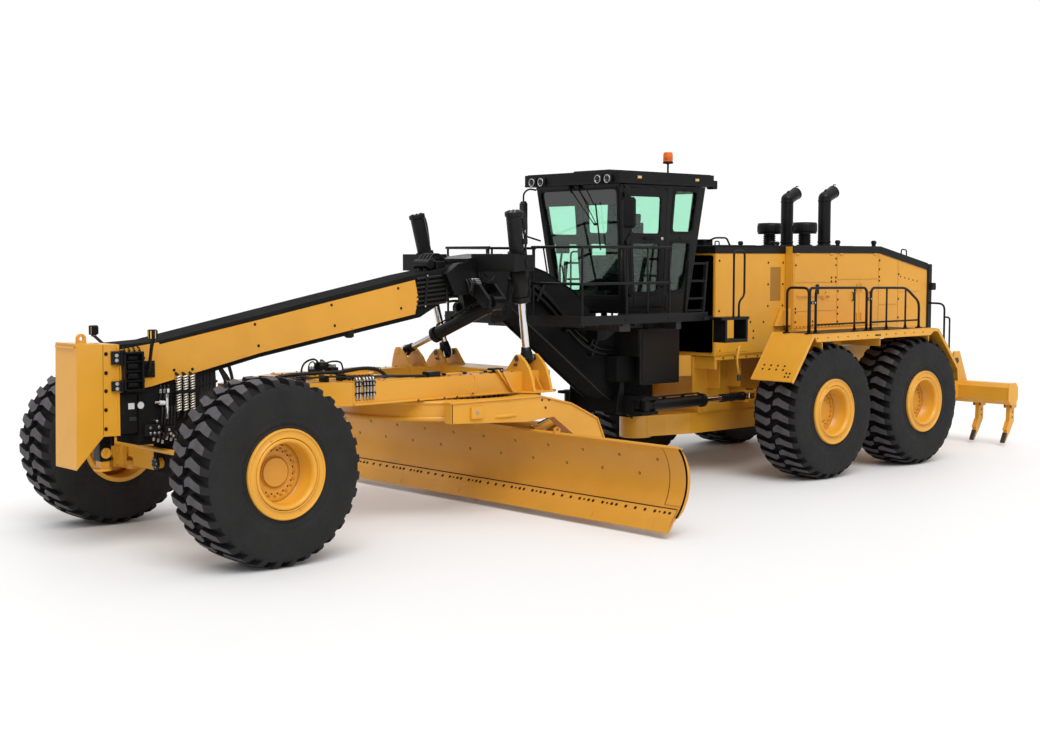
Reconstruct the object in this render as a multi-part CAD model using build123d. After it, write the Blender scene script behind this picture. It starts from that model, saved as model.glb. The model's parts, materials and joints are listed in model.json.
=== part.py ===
from build123d import *
import math
import os

# A large motor grader, drawn in millimetres.
# Drawing frame: x forward with the front axle at x = 0, y to the left, z up
# from the ground.  On export everything is moved by X_SHIFT, so the origin
# lies on the ground below the middle of the machine.

X_SHIFT = 6751.5

# wheels
TYRE_R = 973.0            # outer radius of a tyre
TYRE_W = 765.0            # section width
TRACK_Y = 1755.0          # wheel centre plane from the middle
TANDEM_X = (-9264.0, -11561.0)
RIM_R = 440.0             # bead seat radius
FLANGE_R = 462.0
SPINDLE_R = 90.0
FIT = 0.05                # radial clearance of pins and shafts

# front axle: the lean pin and the kingpin cross at this point
KING_Y = 1120.0
KING_Z = 930.0
STEER_ARM = 400.0         # tie rod pin behind the kingpin
TIE_Z = 640.0
LEAN_BAR_X = 290.0
LEAN_BAR_Z = 1050.0

# front frame
BEAM_HALF = 250.0
PIVOT_X = -7400.0         # articulation pin
# drawbar, circle, blade
BALL = (-420.0, 0.0, 1300.0)
CIRCLE_X = -3700.0
CIRCLE_R = 1315.0
BLADE_HALF = 3660.0
TIP = (-4620.0, 420.0)    # x, z of the blade's tipping pins
TIPCYL_A = (-5180.0, 1060.0)     # x, z of the tip cylinders' rear pins and of their rod eyes
TIPCYL_B = (-4540.0, 865.0)
TIPCYL_Y = 700.0
# lift cylinders: trunnion and rod eye of the left one
TRUN = (-4267.0, 909.0, 3100.0)
LIFT_EYE = (-4513.0, 810.0, 1889.0)
LIFT_TOP = 640.0          # barrel above its trunnion
LIFT_GLAND = 505.0        # barrel below its trunnion
# centre shift cylinder
SHIFT_A = (-4150.0, 620.0, 2590.0)
SHIFT_B = (-3900.0, -900.0, 1935.0)
# articulation cylinders, left one
ART_A = (-6790.0, 750.0, 1120.0)
ART_B = (-9120.0, 700.0, 1120.0)
# ripper
RIP_X, RIP_Z = -13560.0, 960.0
RIP_A = (-13570.0, 1620.0)       # x, z of the cylinders' upper pins
RIP_B = (-14490.0, 1400.0)       # x, z of their rod eyes
RIP_CYL_Y = 750.0
REAR_END = -14860.0
EYE_R = 24.0              # hole of the lifting eye on the push block
EYE_X, EYE_Z = 1160.0, 2308.0

os.makedirs("parts", exist_ok=True)


# ---------------------------------------------------------------- helpers
def V(p):
    return Vector(*p)


def box(x0, x1, y0, y1, z0, z1):
    x0, x1 = sorted((x0, x1))
    y0, y1 = sorted((y0, y1))
    z0, z1 = sorted((z0, z1))
    return Solid.make_box(x1 - x0, y1 - y0, z1 - z0, Plane(origin=(x0, y0, z0)))


def cyl(p0, p1, r):
    d = V(p1) - V(p0)
    return Solid.make_cylinder(r, d.length, Plane(origin=p0, z_dir=d))


def cyl_y(x, z, y0, y1, r):
    return cyl((x, min(y0, y1), z), (x, max(y0, y1), z), r)


def cyl_x(y, z, x0, x1, r):
    return cyl((min(x0, x1), y, z), (max(x0, x1), y, z), r)


def cyl_z(x, y, z0, z1, r):
    return cyl((x, y, min(z0, z1)), (x, y, max(z0, z1)), r)


def prism_y(points, y0, y1):
    """side profile of (x, z) points, extruded from y0 to y1"""
    y0, y1 = sorted((y0, y1))
    wire = Wire.make_polygon([(x, y0, z) for x, z in points], close=True)
    return Solid.extrude(Face(wire), Vector(0, y1 - y0, 0))


def prism_z(points, z0, z1):
    """plan of (x, y) points, extruded from z0 to z1"""
    wire = Wire.make_polygon([(x, y, z0) for x, y in points], close=True)
    return Solid.extrude(Face(wire), Vector(0, 0, z1 - z0))


def prism_x(points, x0, x1):
    """section of (y, z) points, extruded from x0 to x1"""
    x0, x1 = sorted((x0, x1))
    wire = Wire.make_polygon([(x0, y, z) for y, z in points], close=True)
    return Solid.extrude(Face(wire), Vector(x1 - x0, 0, 0))


def join(*pieces):
    first, rest = pieces[0], list(pieces[1:])
    out = first.fuse(*rest) if rest else first
    return out.clean() if hasattr(out, "clean") else out


def cut(body, *tools):
    return body.cut(*tools)


def mirror_y(shape):
    return shape.mirror(Plane.XZ)


def rail(points, r):
    """tube along straight runs, with ball corners"""
    out = []
    for a, b in zip(points[:-1], points[1:]):
        out.append(cyl(a, b, r))
    for p in points[1:-1]:
        out.append(Solid.make_sphere(r, Plane(origin=p)))
    return out


def bent_plate(outline, thick):
    """plate under an open outline of (x, z) points: offset polygon"""
    n = len(outline)
    normals = []
    for i in range(n - 1):
        (x0, z0), (x1, z1) = outline[i], outline[i + 1]
        length = math.hypot(x1 - x0, z1 - z0)
        normals.append(((z1 - z0) / length, -(x1 - x0) / length))
    inner = []
    for i in range(n):
        if i == 0:
            nx, nz, k = *normals[0], 1.0
        elif i == n - 1:
            nx, nz, k = *normals[-1], 1.0
        else:
            ax, az = normals[i - 1]
            bx, bz = normals[i]
            nx, nz = ax + bx, az + bz
            length = math.hypot(nx, nz)
            nx, nz = nx / length, nz / length
            k = 1.0 / (nx * ax + nz * az)
        inner.append((outline[i][0] + nx * thick * k, outline[i][1] + nz * thick * k))
    return list(outline) + inner[::-1]


NODES = {}


def node(name, *shapes):
    solids = []
    for s in shapes:
        solids += list(s.solids())
    NODES[name] = solids


def both(name, *shapes):
    """left pieces and their mirror images in one node"""
    node(name, *shapes, *[mirror_y(s) for s in shapes])


# ---------------------------------------------------------------- wheels
def tyre(x, side):
    h = TYRE_W / 2
    # r, distance from the centre plane
    profile = [(RIM_R, 345), (470, 345), (530, 368), (800, h), (905, h - 8),
               (962, h - 30), (TYRE_R, h - 62)]
    pts = [(r, s) for r, s in profile] + [(r, -s) for r, s in profile[::-1]]
    wire = Wire.make_polygon([(x + 0.0, side * TRACK_Y + s, TYRE_R + r) for r, s in pts], close=True)
    return Solid.revolve(Face(wire), 360, Axis((x, side * TRACK_Y, TYRE_R), (0, 1, 0)))


def rim(x, side):
    # r, distance outboard of the centre plane; the hub is blind on its outer side
    profile = [(SPINDLE_R + FIT, -335), (170, -335), (190, -60), (360, 40), (412, -20),
               (412, -372), (FLANGE_R, -372), (FLANGE_R, -345), (RIM_R, -345),
               (RIM_R, 345), (FLANGE_R, 345), (FLANGE_R, 372), (412, 372), (405, 110),
               (360, 80), (215, 80), (205, 130), (150, 130), (135, 165), (0, 165),
               (0, 60), (SPINDLE_R + FIT, 60)]
    wire = Wire.make_polygon([(x, side * (TRACK_Y + s), TYRE_R + r) for r, s in profile], close=True)
    return Solid.revolve(Face(wire), 360, Axis((x, side * TRACK_Y, TYRE_R), (0, 1, 0)))


# name, axle position, side
WHEELS = [("front_left", 0.0, 1), ("front_right", 0.0, -1),
          ("middle_left", TANDEM_X[0], 1), ("middle_right", TANDEM_X[0], -1),
          ("rear_left", TANDEM_X[1], 1), ("rear_right", TANDEM_X[1], -1)]
for name, x, side in WHEELS:
    node("tyre_" + name, tyre(x, side))
    node("rim_" + name, rim(x, side))

# ---------------------------------------------------------------- front axle
axle = join(
    box(-150, 150, -800, 800, 780, 1020),
    box(-105, 105, -1060, 1060, 862, 998),
    cyl_x(KING_Y, KING_Z, -120, 120, 98), cyl_x(-KING_Y, KING_Z, -120, 120, 98),
    cyl_x(0, 900, -300, 300, 60))
axle = cut(axle, cyl_x(KING_Y, KING_Z, -200, 200, 40 + FIT), cyl_x(-KING_Y, KING_Z, -200, 200, 40 + FIT))
node("front_axle", axle)

yoke = join(box(-175, 175, KING_Y - 108, KING_Y + 108, KING_Z - 165, KING_Z + 165))
yoke = cut(yoke, box(-125, 125, KING_Y - 200, KING_Y + 200, KING_Z - 122, KING_Z + 122))
yoke = join(yoke, cyl_x(KING_Y, KING_Z, -200, 200, 40),
            cyl_z(0, KING_Y, KING_Z + 160, KING_Z + 232, 45),
            cyl_z(0, KING_Y, KING_Z - 232, KING_Z - 160, 45),
            cyl_x(KING_Y, LEAN_BAR_Z, 170, 325, 30))
node("lean_yoke_left", yoke)
yoke_r = join(box(-175, 175, KING_Y - 108, KING_Y + 108, KING_Z - 165, KING_Z + 165))
yoke_r = cut(yoke_r, box(-125, 125, KING_Y - 200, KING_Y + 200, KING_Z - 122, KING_Z + 122))
yoke_r = join(yoke_r, cyl_x(KING_Y, KING_Z, -200, 200, 40),
              cyl_z(0, KING_Y, KING_Z + 160, KING_Z + 232, 45),
              cyl_z(0, KING_Y, KING_Z - 232, KING_Z - 160, 45),
              cyl_x(KING_Y, LEAN_BAR_Z, 170, 325, 25))
node("lean_yoke_right", mirror_y(yoke_r))

knuckle = join(
    cyl_z(0, KING_Y, KING_Z + 170, KING_Z + 230, 75),
    box(-62, 62, KING_Y, KING_Y + 285, KING_Z + 170, KING_Z + 230),
    cyl_z(0, KING_Y, KING_Z - 230, KING_Z - 170, 75),
    box(-62, 62, KING_Y, KING_Y + 285, KING_Z - 230, KING_Z - 170),
    box(-100, 100, KING_Y + 225, KING_Y + 285, KING_Z - 230, KING_Z + 230),
    cyl_y(0, TYRE_R, KING_Y + 270, TRACK_Y + 30, SPINDLE_R),
    box(-STEER_ARM, 0, KING_Y - 45, KING_Y + 45, KING_Z - 230, KING_Z - 170),
    cyl_z(-STEER_ARM, KING_Y, KING_Z - 230, KING_Z - 170, 55),
    cyl_z(-STEER_ARM, KING_Y, TIE_Z - 28, KING_Z - 200, 25))
knuckle = cut(knuckle, cyl_z(0, KING_Y, KING_Z + 150, KING_Z + 260, 45 + FIT),
              cyl_z(0, KING_Y, KING_Z - 260, KING_Z - 150, 45 + FIT))
node("knuckle_left", knuckle)
node("knuckle_right", mirror_y(knuckle))

tie_end = join(cyl_z(-STEER_ARM, KING_Y, TIE_Z - 22, TIE_Z + 22, 46),
               cyl_x(KING_Y, TIE_Z, -STEER_ARM - 84, -STEER_ARM + 84, 18))
tie_end = cut(tie_end, cyl_z(-STEER_ARM, KING_Y, TIE_Z - 60, TIE_Z + 60, 25 + FIT))
node("tie_rod_end", tie_end)
tie = join(
    box(-STEER_ARM - 84, -STEER_ARM - 54, KING_Y - 120, KING_Y + 24, TIE_Z - 24, TIE_Z + 24),
    box(-STEER_ARM + 54, -STEER_ARM + 84, KING_Y - 120, KING_Y + 24, TIE_Z - 24, TIE_Z + 24),
    box(-STEER_ARM - 84, -STEER_ARM + 84, KING_Y - 120, KING_Y - 75, TIE_Z - 24, TIE_Z + 24),
    cyl_y(-STEER_ARM, TIE_Z, -KING_Y + 60, KING_Y - 100, 30),
    cyl_z(-STEER_ARM, -KING_Y, TIE_Z - 20, TIE_Z + 20, 72))
tie = cut(tie, cyl_x(KING_Y, TIE_Z, -STEER_ARM - 100, -STEER_ARM + 100, 18 + FIT),
          cyl_z(-STEER_ARM, -KING_Y, TIE_Z - 60, TIE_Z + 60, 44))
node("tie_rod", tie)

lean_bar = join(
    cyl_y(LEAN_BAR_X, LEAN_BAR_Z, -KING_Y + 30, KING_Y - 30, 30),
    cyl_x(KING_Y, LEAN_BAR_Z, LEAN_BAR_X - 28, LEAN_BAR_X + 28, 52),
    cyl_x(-KING_Y, LEAN_BAR_Z, LEAN_BAR_X - 28, LEAN_BAR_X + 28, 52))
lean_bar = cut(lean_bar, cyl_x(KING_Y, LEAN_BAR_Z, LEAN_BAR_X - 60, LEAN_BAR_X + 60, 30 + FIT),
               cyl_x(-KING_Y, LEAN_BAR_Z, LEAN_BAR_X - 60, LEAN_BAR_X + 60, 31))
node("lean_bar", lean_bar)

# ---------------------------------------------------------------- front frame
# x, z along the top and back along the bottom of the beam and its gooseneck
BEAM_PROFILE = [
    (845, 2240), (399, 2262), (-1698, 2673), (-3123, 2945), (-3546, 3012), (-4040, 3108),
    (-4551, 3159), (-4903, 3107), (-5354, 2973), (-5915, 2698), (-6190, 2478), (-6200, 2395), (-6330, 2360), (-6480, 2300),
    (-7560, 2300), (-7620, 2240), (-7620, 1800), (-7100, 1800), (-7060, 1445),
    (-7060, 905), (-6407, 1330), (-5635, 1892), (-4903, 2420), (-4560, 2690), (-3760, 2690),
    (-3223, 2425), (-880, 2030), (-100, 1858), (-100, 1150), (640, 1150),
    (640, 1700), (845, 1650)]
beam = join(
    prism_y(BEAM_PROFILE, -BEAM_HALF, BEAM_HALF),
    # hub of the articulation pin, between the two tongues of the rear frame
    box(-7400, -7000, -240, 240, 905, 1445), cyl_z(PIVOT_X, 0, 905, 1445, 240),
    cyl_z(PIVOT_X, 0, 600, 1750, 90),
    # ears of the front axle's pin
    box(160, 235, -180, 180, 790, 1160), box(-235, -160, -180, 180, 790, 1160),
    box(-235, 235, -180, 180, 1100, 1160),
    # lower frame below the cab
    box(-7540, -6700, -700, 700, 1800, 2190), box(-7120, -6500, -480, 480, 1450, 1800),
    # brackets of the articulation cylinders
    box(-6960, -6640, -840, 840, 1200, 1240), box(-6960, -6640, -840, 840, 1000, 1040),
    box(-6700, -6640, -640, 640, 1000, 1240),
    # socket mount of the drawbar's ball
    cyl_x(0, 1300, -360, -90, 70))
beam = cut(beam, cyl_x(0, 900, -400, 400, 60 + FIT))
node("main_beam", beam)

# yellow side covers, deep at the front
COVER = [(513, 1776), (382, 2226), (-833, 2449), (-3131, 2888), (-3184, 2656), (-3128, 2468), (-876, 2082)]
both("beam_side_covers", prism_y(COVER, BEAM_HALF, BEAM_HALF + 22))

push = join(prism_y([(1330, 2267), (1357, 942), (1045, 1275), (853, 1270), (845, 2244)], -245, 245),
            box(890, 990, -60, 60, 900, 1280), cyl_z(940, 0, 880, 905, 95))
# lifting eye on top
push = join(push, box(EYE_X - 52, EYE_X + 52, -20, 20, 2230, EYE_Z), cyl_y(EYE_X, EYE_Z, -20, 20, 52))
push = cut(push, cyl_y(EYE_X, EYE_Z, -60, 60, EYE_R))
node("push_block", push)

# ---------------------------------------------------------------- saddle that carries the lift cylinders
ty, tz, tx = TRUN[1], TRUN[2], TRUN[0]
saddle = [prism_y([(-3560, 2960), (-3760, 3090), (-4560, 3190), (-4720, 3000), (-4640, 2380),
                   (-4420, 2330), (-4330, 2690), (-3700, 2690)], BEAM_HALF, BEAM_HALF + 110)]
saddle += [box(-4110, -4020, 300, ty + 205, 2990, 3210), box(-4360, -4020, ty - 205, ty - 150, 3000, 3200),
           box(-4360, -4020, ty + 150, ty + 205, 3000, 3200)]
left = join(*saddle)
right = mirror_y(left)
bridge = prism_y([(-3900, 3150), (-4500, 3215), (-4500, 3165), (-3900, 3085)], -BEAM_HALF - 110, BEAM_HALF + 110)
sad = join(left, right, bridge,
           # ears of the centre shift cylinder on the left
           prism_x([(340, 2740), (560, 2530), (680, 2530), (680, 2640), (480, 2830), (340, 2830)], -4290, -4245),
           prism_x([(340, 2740), (560, 2530), (680, 2530), (680, 2640), (480, 2830), (340, 2830)], -4030, -3985),
           box(-4290, -3985, 340, 380, 2740, 2830))
sad = cut(sad, prism_y(BEAM_PROFILE, -BEAM_HALF, BEAM_HALF),
          cyl_y(tx, tz, -ty - 300, -ty + 300, 40 + FIT), cyl_y(tx, tz, ty - 300, ty + 300, 40 + FIT))
# pin of the centre shift cylinder, in its ears
sad = join(sad, cyl_x(SHIFT_A[1], SHIFT_A[2], -4300, -3975, 30))
node("lift_saddle", sad)


# ---------------------------------------------------------------- cylinders
def barrel(a, b, back, gland, r_out, r_in, r_rod):
    """tube on the line a -> b: from back behind a to gland ahead of a"""
    d = (V(b) - V(a)).normalized()
    p0 = V(a) - d * back
    p1 = V(a) + d * gland
    body = cyl(tuple(p0), tuple(p1), r_out)
    cap = cyl(tuple(p1 - d * 70), tuple(p1), r_out + 14)
    bore = cyl(tuple(p0 + d * 40), tuple(p1 - d * 60), r_in)
    hole = cyl(tuple(p1 - d * 90), tuple(p1 + d * 20), r_rod + FIT)
    return cut(join(body, cap), bore, hole)


def rod(a, b, length, r_rod):
    """rod that ends at b, reaching back towards a"""
    d = (V(b) - V(a)).normalized()
    return cyl(tuple(V(b) - d * length), tuple(V(b)), r_rod)


lift_b = barrel(TRUN, LIFT_EYE, LIFT_TOP, LIFT_GLAND, 95, 76, 50)
trun_pin = cut(cyl_y(tx, tz, ty - 200, ty + 200, 40), cyl_y(tx, tz, ty - 80, ty + 80, 60))
lift_b = join(lift_b, trun_pin)
both("lift_barrels", lift_b)
lift_r = join(rod(TRUN, LIFT_EYE, 1250, 50), cyl_y(LIFT_EYE[0], LIFT_EYE[2], LIFT_EYE[1] - 40, LIFT_EYE[1] + 40, 75))
node("lift_rod_left", lift_r)
node("lift_rod_right", mirror_y(lift_r))

shift_b = join(barrel(SHIFT_A, SHIFT_B, 0, 1130, 80, 62, 42),
               cyl_x(SHIFT_A[1], SHIFT_A[2], SHIFT_A[0] - 74, SHIFT_A[0] + 74, 90))
shift_b = cut(shift_b, cyl_x(SHIFT_A[1], SHIFT_A[2], SHIFT_A[0] - 120, SHIFT_A[0] + 120, 48))
node("shift_barrel", shift_b)
shift_r = join(rod(SHIFT_A, SHIFT_B, 1150, 42), cyl_x(SHIFT_B[1], SHIFT_B[2], SHIFT_B[0] - 35, SHIFT_B[0] + 35, 70))
node("shift_rod", shift_r)

art_b = join(barrel(ART_A, ART_B, 0, 1250, 80, 62, 42), cyl_z(ART_A[0], ART_A[1], 1048, 1192, 75))
art_b = join(art_b, cyl_z(ART_A[0], ART_A[1], 1040.5, 1199.5, 35))
art_r = join(rod(ART_A, ART_B, 1500, 42), cyl_z(ART_B[0], ART_B[1], 1085, 1155, 75))
node("articulation_barrel_left", art_b)
node("articulation_barrel_right", mirror_y(art_b))
node("articulation_rod_left", art_r)
node("articulation_rod_right", mirror_y(art_r))

# ---------------------------------------------------------------- drawbar
bx, _, bz = BALL
outline = [(-560, 120), (-1700, 900), (-4830, 900), (-4830, -900), (-1700, -900), (-560, -120)]
bar = prism_z(outline, 1465, 1730)
bar = cut(bar,
          prism_z([(-1350, 60), (-1350, -60), (-2150, -560), (-2150, 560)], 1400, 1800),
          prism_z([(-2700, 640), (-2700, -640), (-4300, -640), (-4300, 640)], 1400, 1800))
nose = prism_y([(-430, 1230), (-560, 1215), (-1150, 1465), (-1150, 1600), (-560, 1400), (-430, 1385)], -85, 85)
parts = [bar, nose, prism_y([(-560, 1230), (-560, 1560), (-900, 1730), (-1400, 1730), (-1400, 1465), (-1000, 1400)], -60, 60)]
# lugs: x range, y of the plates' inner faces, height
for s in (1, -1):
    parts.append(box(-4690, -4330, s * 880, s * 965, 1500, 1720))
    parts.append(prism_y([(-4798, 1480), (-4768, 1570), (-4718, 1690), (-4655, 1800), (-4606, 1890), (-4570, 1945), (-4520, 1972), (-4460, 1968),
                          (-4405, 1925), (-4360, 1850), (-4245, 1570), (-4215, 1480)], s * 925, s * 965))
    parts.append(prism_y([(-4740, 1640), (-4700, 1725), (-4655, 1800), (-4606, 1890), (-4570, 1945), (-4520, 1972), (-4460, 1968),
                          (-4405, 1925), (-4360, 1850), (-4300, 1720), (-4280, 1640)], s * 660, s * 700))
# centre shift lug, fore and aft plates on the right side
sx, sy, sz = SHIFT_B
for x0, x1 in ((sx + 112, sx + 147), (sx - 112, sx - 147)):
    parts.append(prism_x([(sy - 100, 1600), (sy - 100, sz - 60), (sy - 50, sz + 70), (sy + 50, sz + 70), (sy + 170, 1740), (sy + 170, 1600)], x0, x1))
# circle drive housing
parts.append(cyl_z(-2420, 0, 1500, 1960, 170))
drawbar = join(*parts)
drawbar = cut(drawbar, Solid.make_sphere(92, Plane(origin=BALL)))
node("drawbar", drawbar)
# ball stud stays on the front frame
beam2 = join(beam, Solid.make_sphere(85, Plane(origin=BALL)))
beam2 = cut(beam2, cyl_x(0, 900, -400, 400, 60 + FIT))
node("main_beam", beam2)

# ---------------------------------------------------------------- circle with its blade arms
ring = cut(cyl_z(CIRCLE_X, 0, 1210, 1455, CIRCLE_R), cyl_z(CIRCLE_X, 0, 1150, 1500, CIRCLE_R - 190))
ARM = [(-2836, 1455), (-4282, 1455), (-4800, 1330), (-5271, 1104), (-5400, 827), (-5300, 500),
       (-4980, 290), (-4620, 300), (-4520, 420), (-4620, 540), (-4900, 560), (-5020, 700), (-5010, 820),
       (-4893, 901), (-4499, 1178), (-4056, 1145), (-2836, 1207)]
arms = [prism_y(ARM, s * 1200, s * 1320) for s in (1, -1)]
tube = cyl_y(-5180, 900, -1210, 1210, 90)
lugs = [prism_y([(-5250, 860), (-5232, 1125), (-5128, 1125), (-5110, 860)], s * (TIPCYL_Y + k * 70), s * (TIPCYL_Y + k * 100))
        for s in (1, -1) for k in (-1, 1)]
circle = join(ring, *arms, tube, *lugs)
circle = cut(circle, cyl_y(TIPCYL_A[0], TIPCYL_A[1], -1000, 1000, 28 + FIT))
circle = cut(circle, cyl_y(TIP[0], TIP[1], -1400, 1400, 50 + FIT))
node("circle", circle)

# ---------------------------------------------------------------- blade carrier and blade
px_, pz_ = TIP
ear = [(px_ - 90, 420), (px_ - 40, 330), (px_ + 40, 330), (-4480, 330), (-4480, 900), (-4560, 900), (-4760, 700)]
car = []
for s in (1, -1):
    car.append(prism_y(ear, s * 1075, s * 1190))
    car.append(cyl_y(px_, pz_, s * 1180, s * 1330, 50))
    # lips over the blade's rails
    car.append(box(-4500, -4412, s * 860, s * 1190, 866, 900))
    car.append(box(-4500, -4412, s * 860, s * 1190, 320, 354))
    car.append(box(-4530, -4476, s * 860, s * 1190, 320, 900))
car.append(cyl_y(-4665, 650, -1100, 1100, 60))
# barrel of the side shift cylinder
ssb = cut(cyl_y(-4580, 560, -1000, 420, 62), cyl_y(-4580, 560, -960, 380, 46), cyl_y(-4580, 560, 360, 480, 34 + FIT))
car.append(ssb)
for s in (1, -1):
    for k in (-1, 1):
        y0 = s * (TIPCYL_Y + k * 60)
        car.append(prism_y([(-4720, 640), (-4600, 910), (-4500, 910), (-4485, 850), (-4620, 660)], y0, y0 + s * k * 25))
carrier = join(*car)
carrier = cut(carrier, cyl_y(-4580, 560, -960, 380, 46), cyl_y(-4580, 560, 360, 480, 34 + FIT),
              cyl_y(-4580, 560, 1000, 1300, 42))
node("blade_carrier", carrier)


def arc_plate(p0, pm, p1, thick, y0, y1):
    """curved plate: front face through three (x, z) points, thick behind"""
    (x0, z0), (xm, zm), (x1, z1) = p0, pm, p1
    a, b = x0 * x0 + z0 * z0, xm * xm + zm * zm
    c = x1 * x1 + z1 * z1
    d = 2 * (x0 * (zm - z1) + xm * (z1 - z0) + x1 * (z0 - zm))
    cx = (a * (zm - z1) + b * (z1 - z0) + c * (z0 - zm)) / d
    cz = (a * (x1 - xm) + b * (x0 - x1) + c * (xm - x0)) / d
    r = math.hypot(x0 - cx, z0 - cz)
    k = (r + thick) / r
    q = [(cx + (x - cx) * k, cz + (z - cz) * k) for x, z in (p0, pm, p1)]
    f = [(x, y0, z) for x, z in (p0, pm, p1)]
    g = [(x, y0, z) for x, z in q]
    wire = Wire([ThreePointArc(*f), Line(f[2], g[2]), ThreePointArc(g[2], g[1], g[0]), Line(g[0], f[0])])
    return Solid.extrude(Face(wire), Vector(0, y1 - y0, 0)), q


board, back = arc_plate((-4193, 1017), (-4340, 640), (-4132, 214), 32, -BLADE_HALF, BLADE_HALF)
edge = prism_y([(-4205, 330), (-4120, 225), (-4028, 76), (-4062, 76), (-4170, 222), (-4240, 300)], -BLADE_HALF, BLADE_HALF)
rails = [box(-4470, -4418, -2500, 2500, 360, 440), box(-4470, -4418, -2500, 2500, 780, 860),
         box(-4430, -4300, -2500, 2500, 385, 415), box(-4430, -4330, -2500, 2500, 805, 835)]
ribs = [box(-4470, -4340, s * y - 15, s * y + 15, 370, 850) for s in (1, -1) for y in (2480,)]
ss_rod = [cyl_y(-4580, 560, -330, 2360, 34), box(-4625, -4350, 2340, 2400, 500, 620)]
# tip cylinders, between the arms' tube and the carrier
ta, tb = (TIPCYL_A[0], TIPCYL_Y, TIPCYL_A[1]), (TIPCYL_B[0], TIPCYL_Y, TIPCYL_B[1])
both("tip_barrels", join(barrel(ta, tb, -45, 480, 56, 44, 32), cyl_y(ta[0], ta[2], TIPCYL_Y - 62, TIPCYL_Y + 62, 54),
                         cyl_y(ta[0], ta[2], TIPCYL_Y - 100, TIPCYL_Y + 100, 28)))
both("tip_rods", join(rod(ta, tb, 520, 32), cyl_y(tb[0], tb[2], TIPCYL_Y - 36, TIPCYL_Y + 36, 56)))

blade = join(board, edge, *rails, *ribs, *ss_rod)
node("blade", blade)

# ---------------------------------------------------------------- rear frame
plan_low = [(-7400, 235), (-7700, 300), (-8100, 420), (-9660, 430), (-9660, -430), (-8100, -420), (-7700, -300), (-7400, -235)]
plan_up = [(-7400, 235), (-7700, 300), (-8100, 440), (-8600, 450), (-8600, -450), (-8100, -440), (-7700, -300), (-7400, -235)]
rear = [prism_z(plan_low, 600, 900), cyl_z(PIVOT_X, 0, 600, 900, 235),
        prism_z(plan_up, 1450, 1750), cyl_z(PIVOT_X, 0, 1450, 1750, 235),
        box(-13300, -8250, -450, 450, 900, 1740),
        cyl_y(sum(TANDEM_X) / 2, TYRE_R, -1010, 1010, 240),
        box(-13450, -13250, -900, 900, 1000, 1760)]
# brackets of the articulation cylinders
for s in (1, -1):
    rear += [box(-9260, -8960, s * 440, s * 800, 1165, 1205), box(-9260, -8960, s * 440, s * 800, 1035, 1075)]
    # ripper hinge ears and upper cylinder ears
    rear += [prism_y([(-13440, RIP_Z + 110), (RIP_X, RIP_Z + 70), (RIP_X - 70, RIP_Z), (RIP_X, RIP_Z - 70), (-13300, RIP_Z - 110), (-13300, RIP_Z + 110)],
                     s * (RIP_CYL_Y - 80), s * (RIP_CYL_Y + 80)),
             box(RIP_A[0] - 70, -13440, s * (RIP_CYL_Y - 104), s * (RIP_CYL_Y - 70), 1530, 1670),
             box(RIP_A[0] - 70, -13440, s * (RIP_CYL_Y + 70), s * (RIP_CYL_Y + 104), 1530, 1670)]
rear_frame = join(*rear)
rear_frame = cut(rear_frame, cyl_z(PIVOT_X, 0, 500, 1900, 90 + FIT),
                 cyl_y(RIP_X, RIP_Z, -900, 900, 45 + FIT),
                 cyl_y(RIP_A[0], RIP_A[1], -900, 900, 28 + FIT))
node("rear_frame", rear_frame)

node("engine_block", box(-11900, -9300, -450, 450, 1760, 2850))

cases = [join(box(TANDEM_X[1], TANDEM_X[0], 1010, 1300, TYRE_R - 230, TYRE_R + 230),
              cyl_y(TANDEM_X[0], TYRE_R, 1010, 1300, 230), cyl_y(TANDEM_X[1], TYRE_R, 1010, 1300, 230),
              cyl_y(TANDEM_X[0], TYRE_R, 1290, TRACK_Y + 30, SPINDLE_R),
              cyl_y(TANDEM_X[1], TYRE_R, 1290, TRACK_Y + 30, SPINDLE_R))]
both("tandem_cases", *cases)

# ---------------------------------------------------------------- hood
wall = 14
front_hood = cut(box(-9720, -8090, -880, 880, 1750, 3320), box(-9800, -8090 - wall, -880 + wall, 880 - wall, 1700, 3320 - wall))
REAR_SIDE = [(-9700, 2020), (-9700, 3330), (-11950, 3330), (-13300, 3060), (-13300, 2020)]
REAR_IN = [(-9700 - wall, 1900), (-9700 - wall, 3330 - wall), (-11950, 3330 - wall), (-13300 + wall, 3060 - wall), (-13300 + wall, 1900)]
rear_hood = cut(prism_y(REAR_SIDE, -1020, 1020), prism_y(REAR_IN, -1020 + wall, 1020 - wall))
opening = box(-9760, -9680, -860, 860, 1900, 3290)
hood = cut(join(front_hood, rear_hood), opening)
node("hood", hood)

# ---------------------------------------------------------------- fenders
FENDER_Z = 2090
FENDER = [(-12555, 1235), (-12525, 1440), (-12245, 1745), (-11930, 2070), (-11720, FENDER_Z), (-8760, FENDER_Z), (-8280, 1450)]
fender = join(prism_y(bent_plate(FENDER, 18), 1400, 2120),
              # outer lip, deeper along the top, and the walkway beside the hood
              prism_y(bent_plate(FENDER, 42), 2100, 2122),
              prism_y([(-11850, 2070), (-11720, 2086), (-8765, 2086), (-8840, 1980), (-11700, 1982)], 2100, 2122),
              box(-11740, -9700, 1050, 1410, FENDER_Z - 16, FENDER_Z - 2))
both("fenders", fender)

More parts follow.
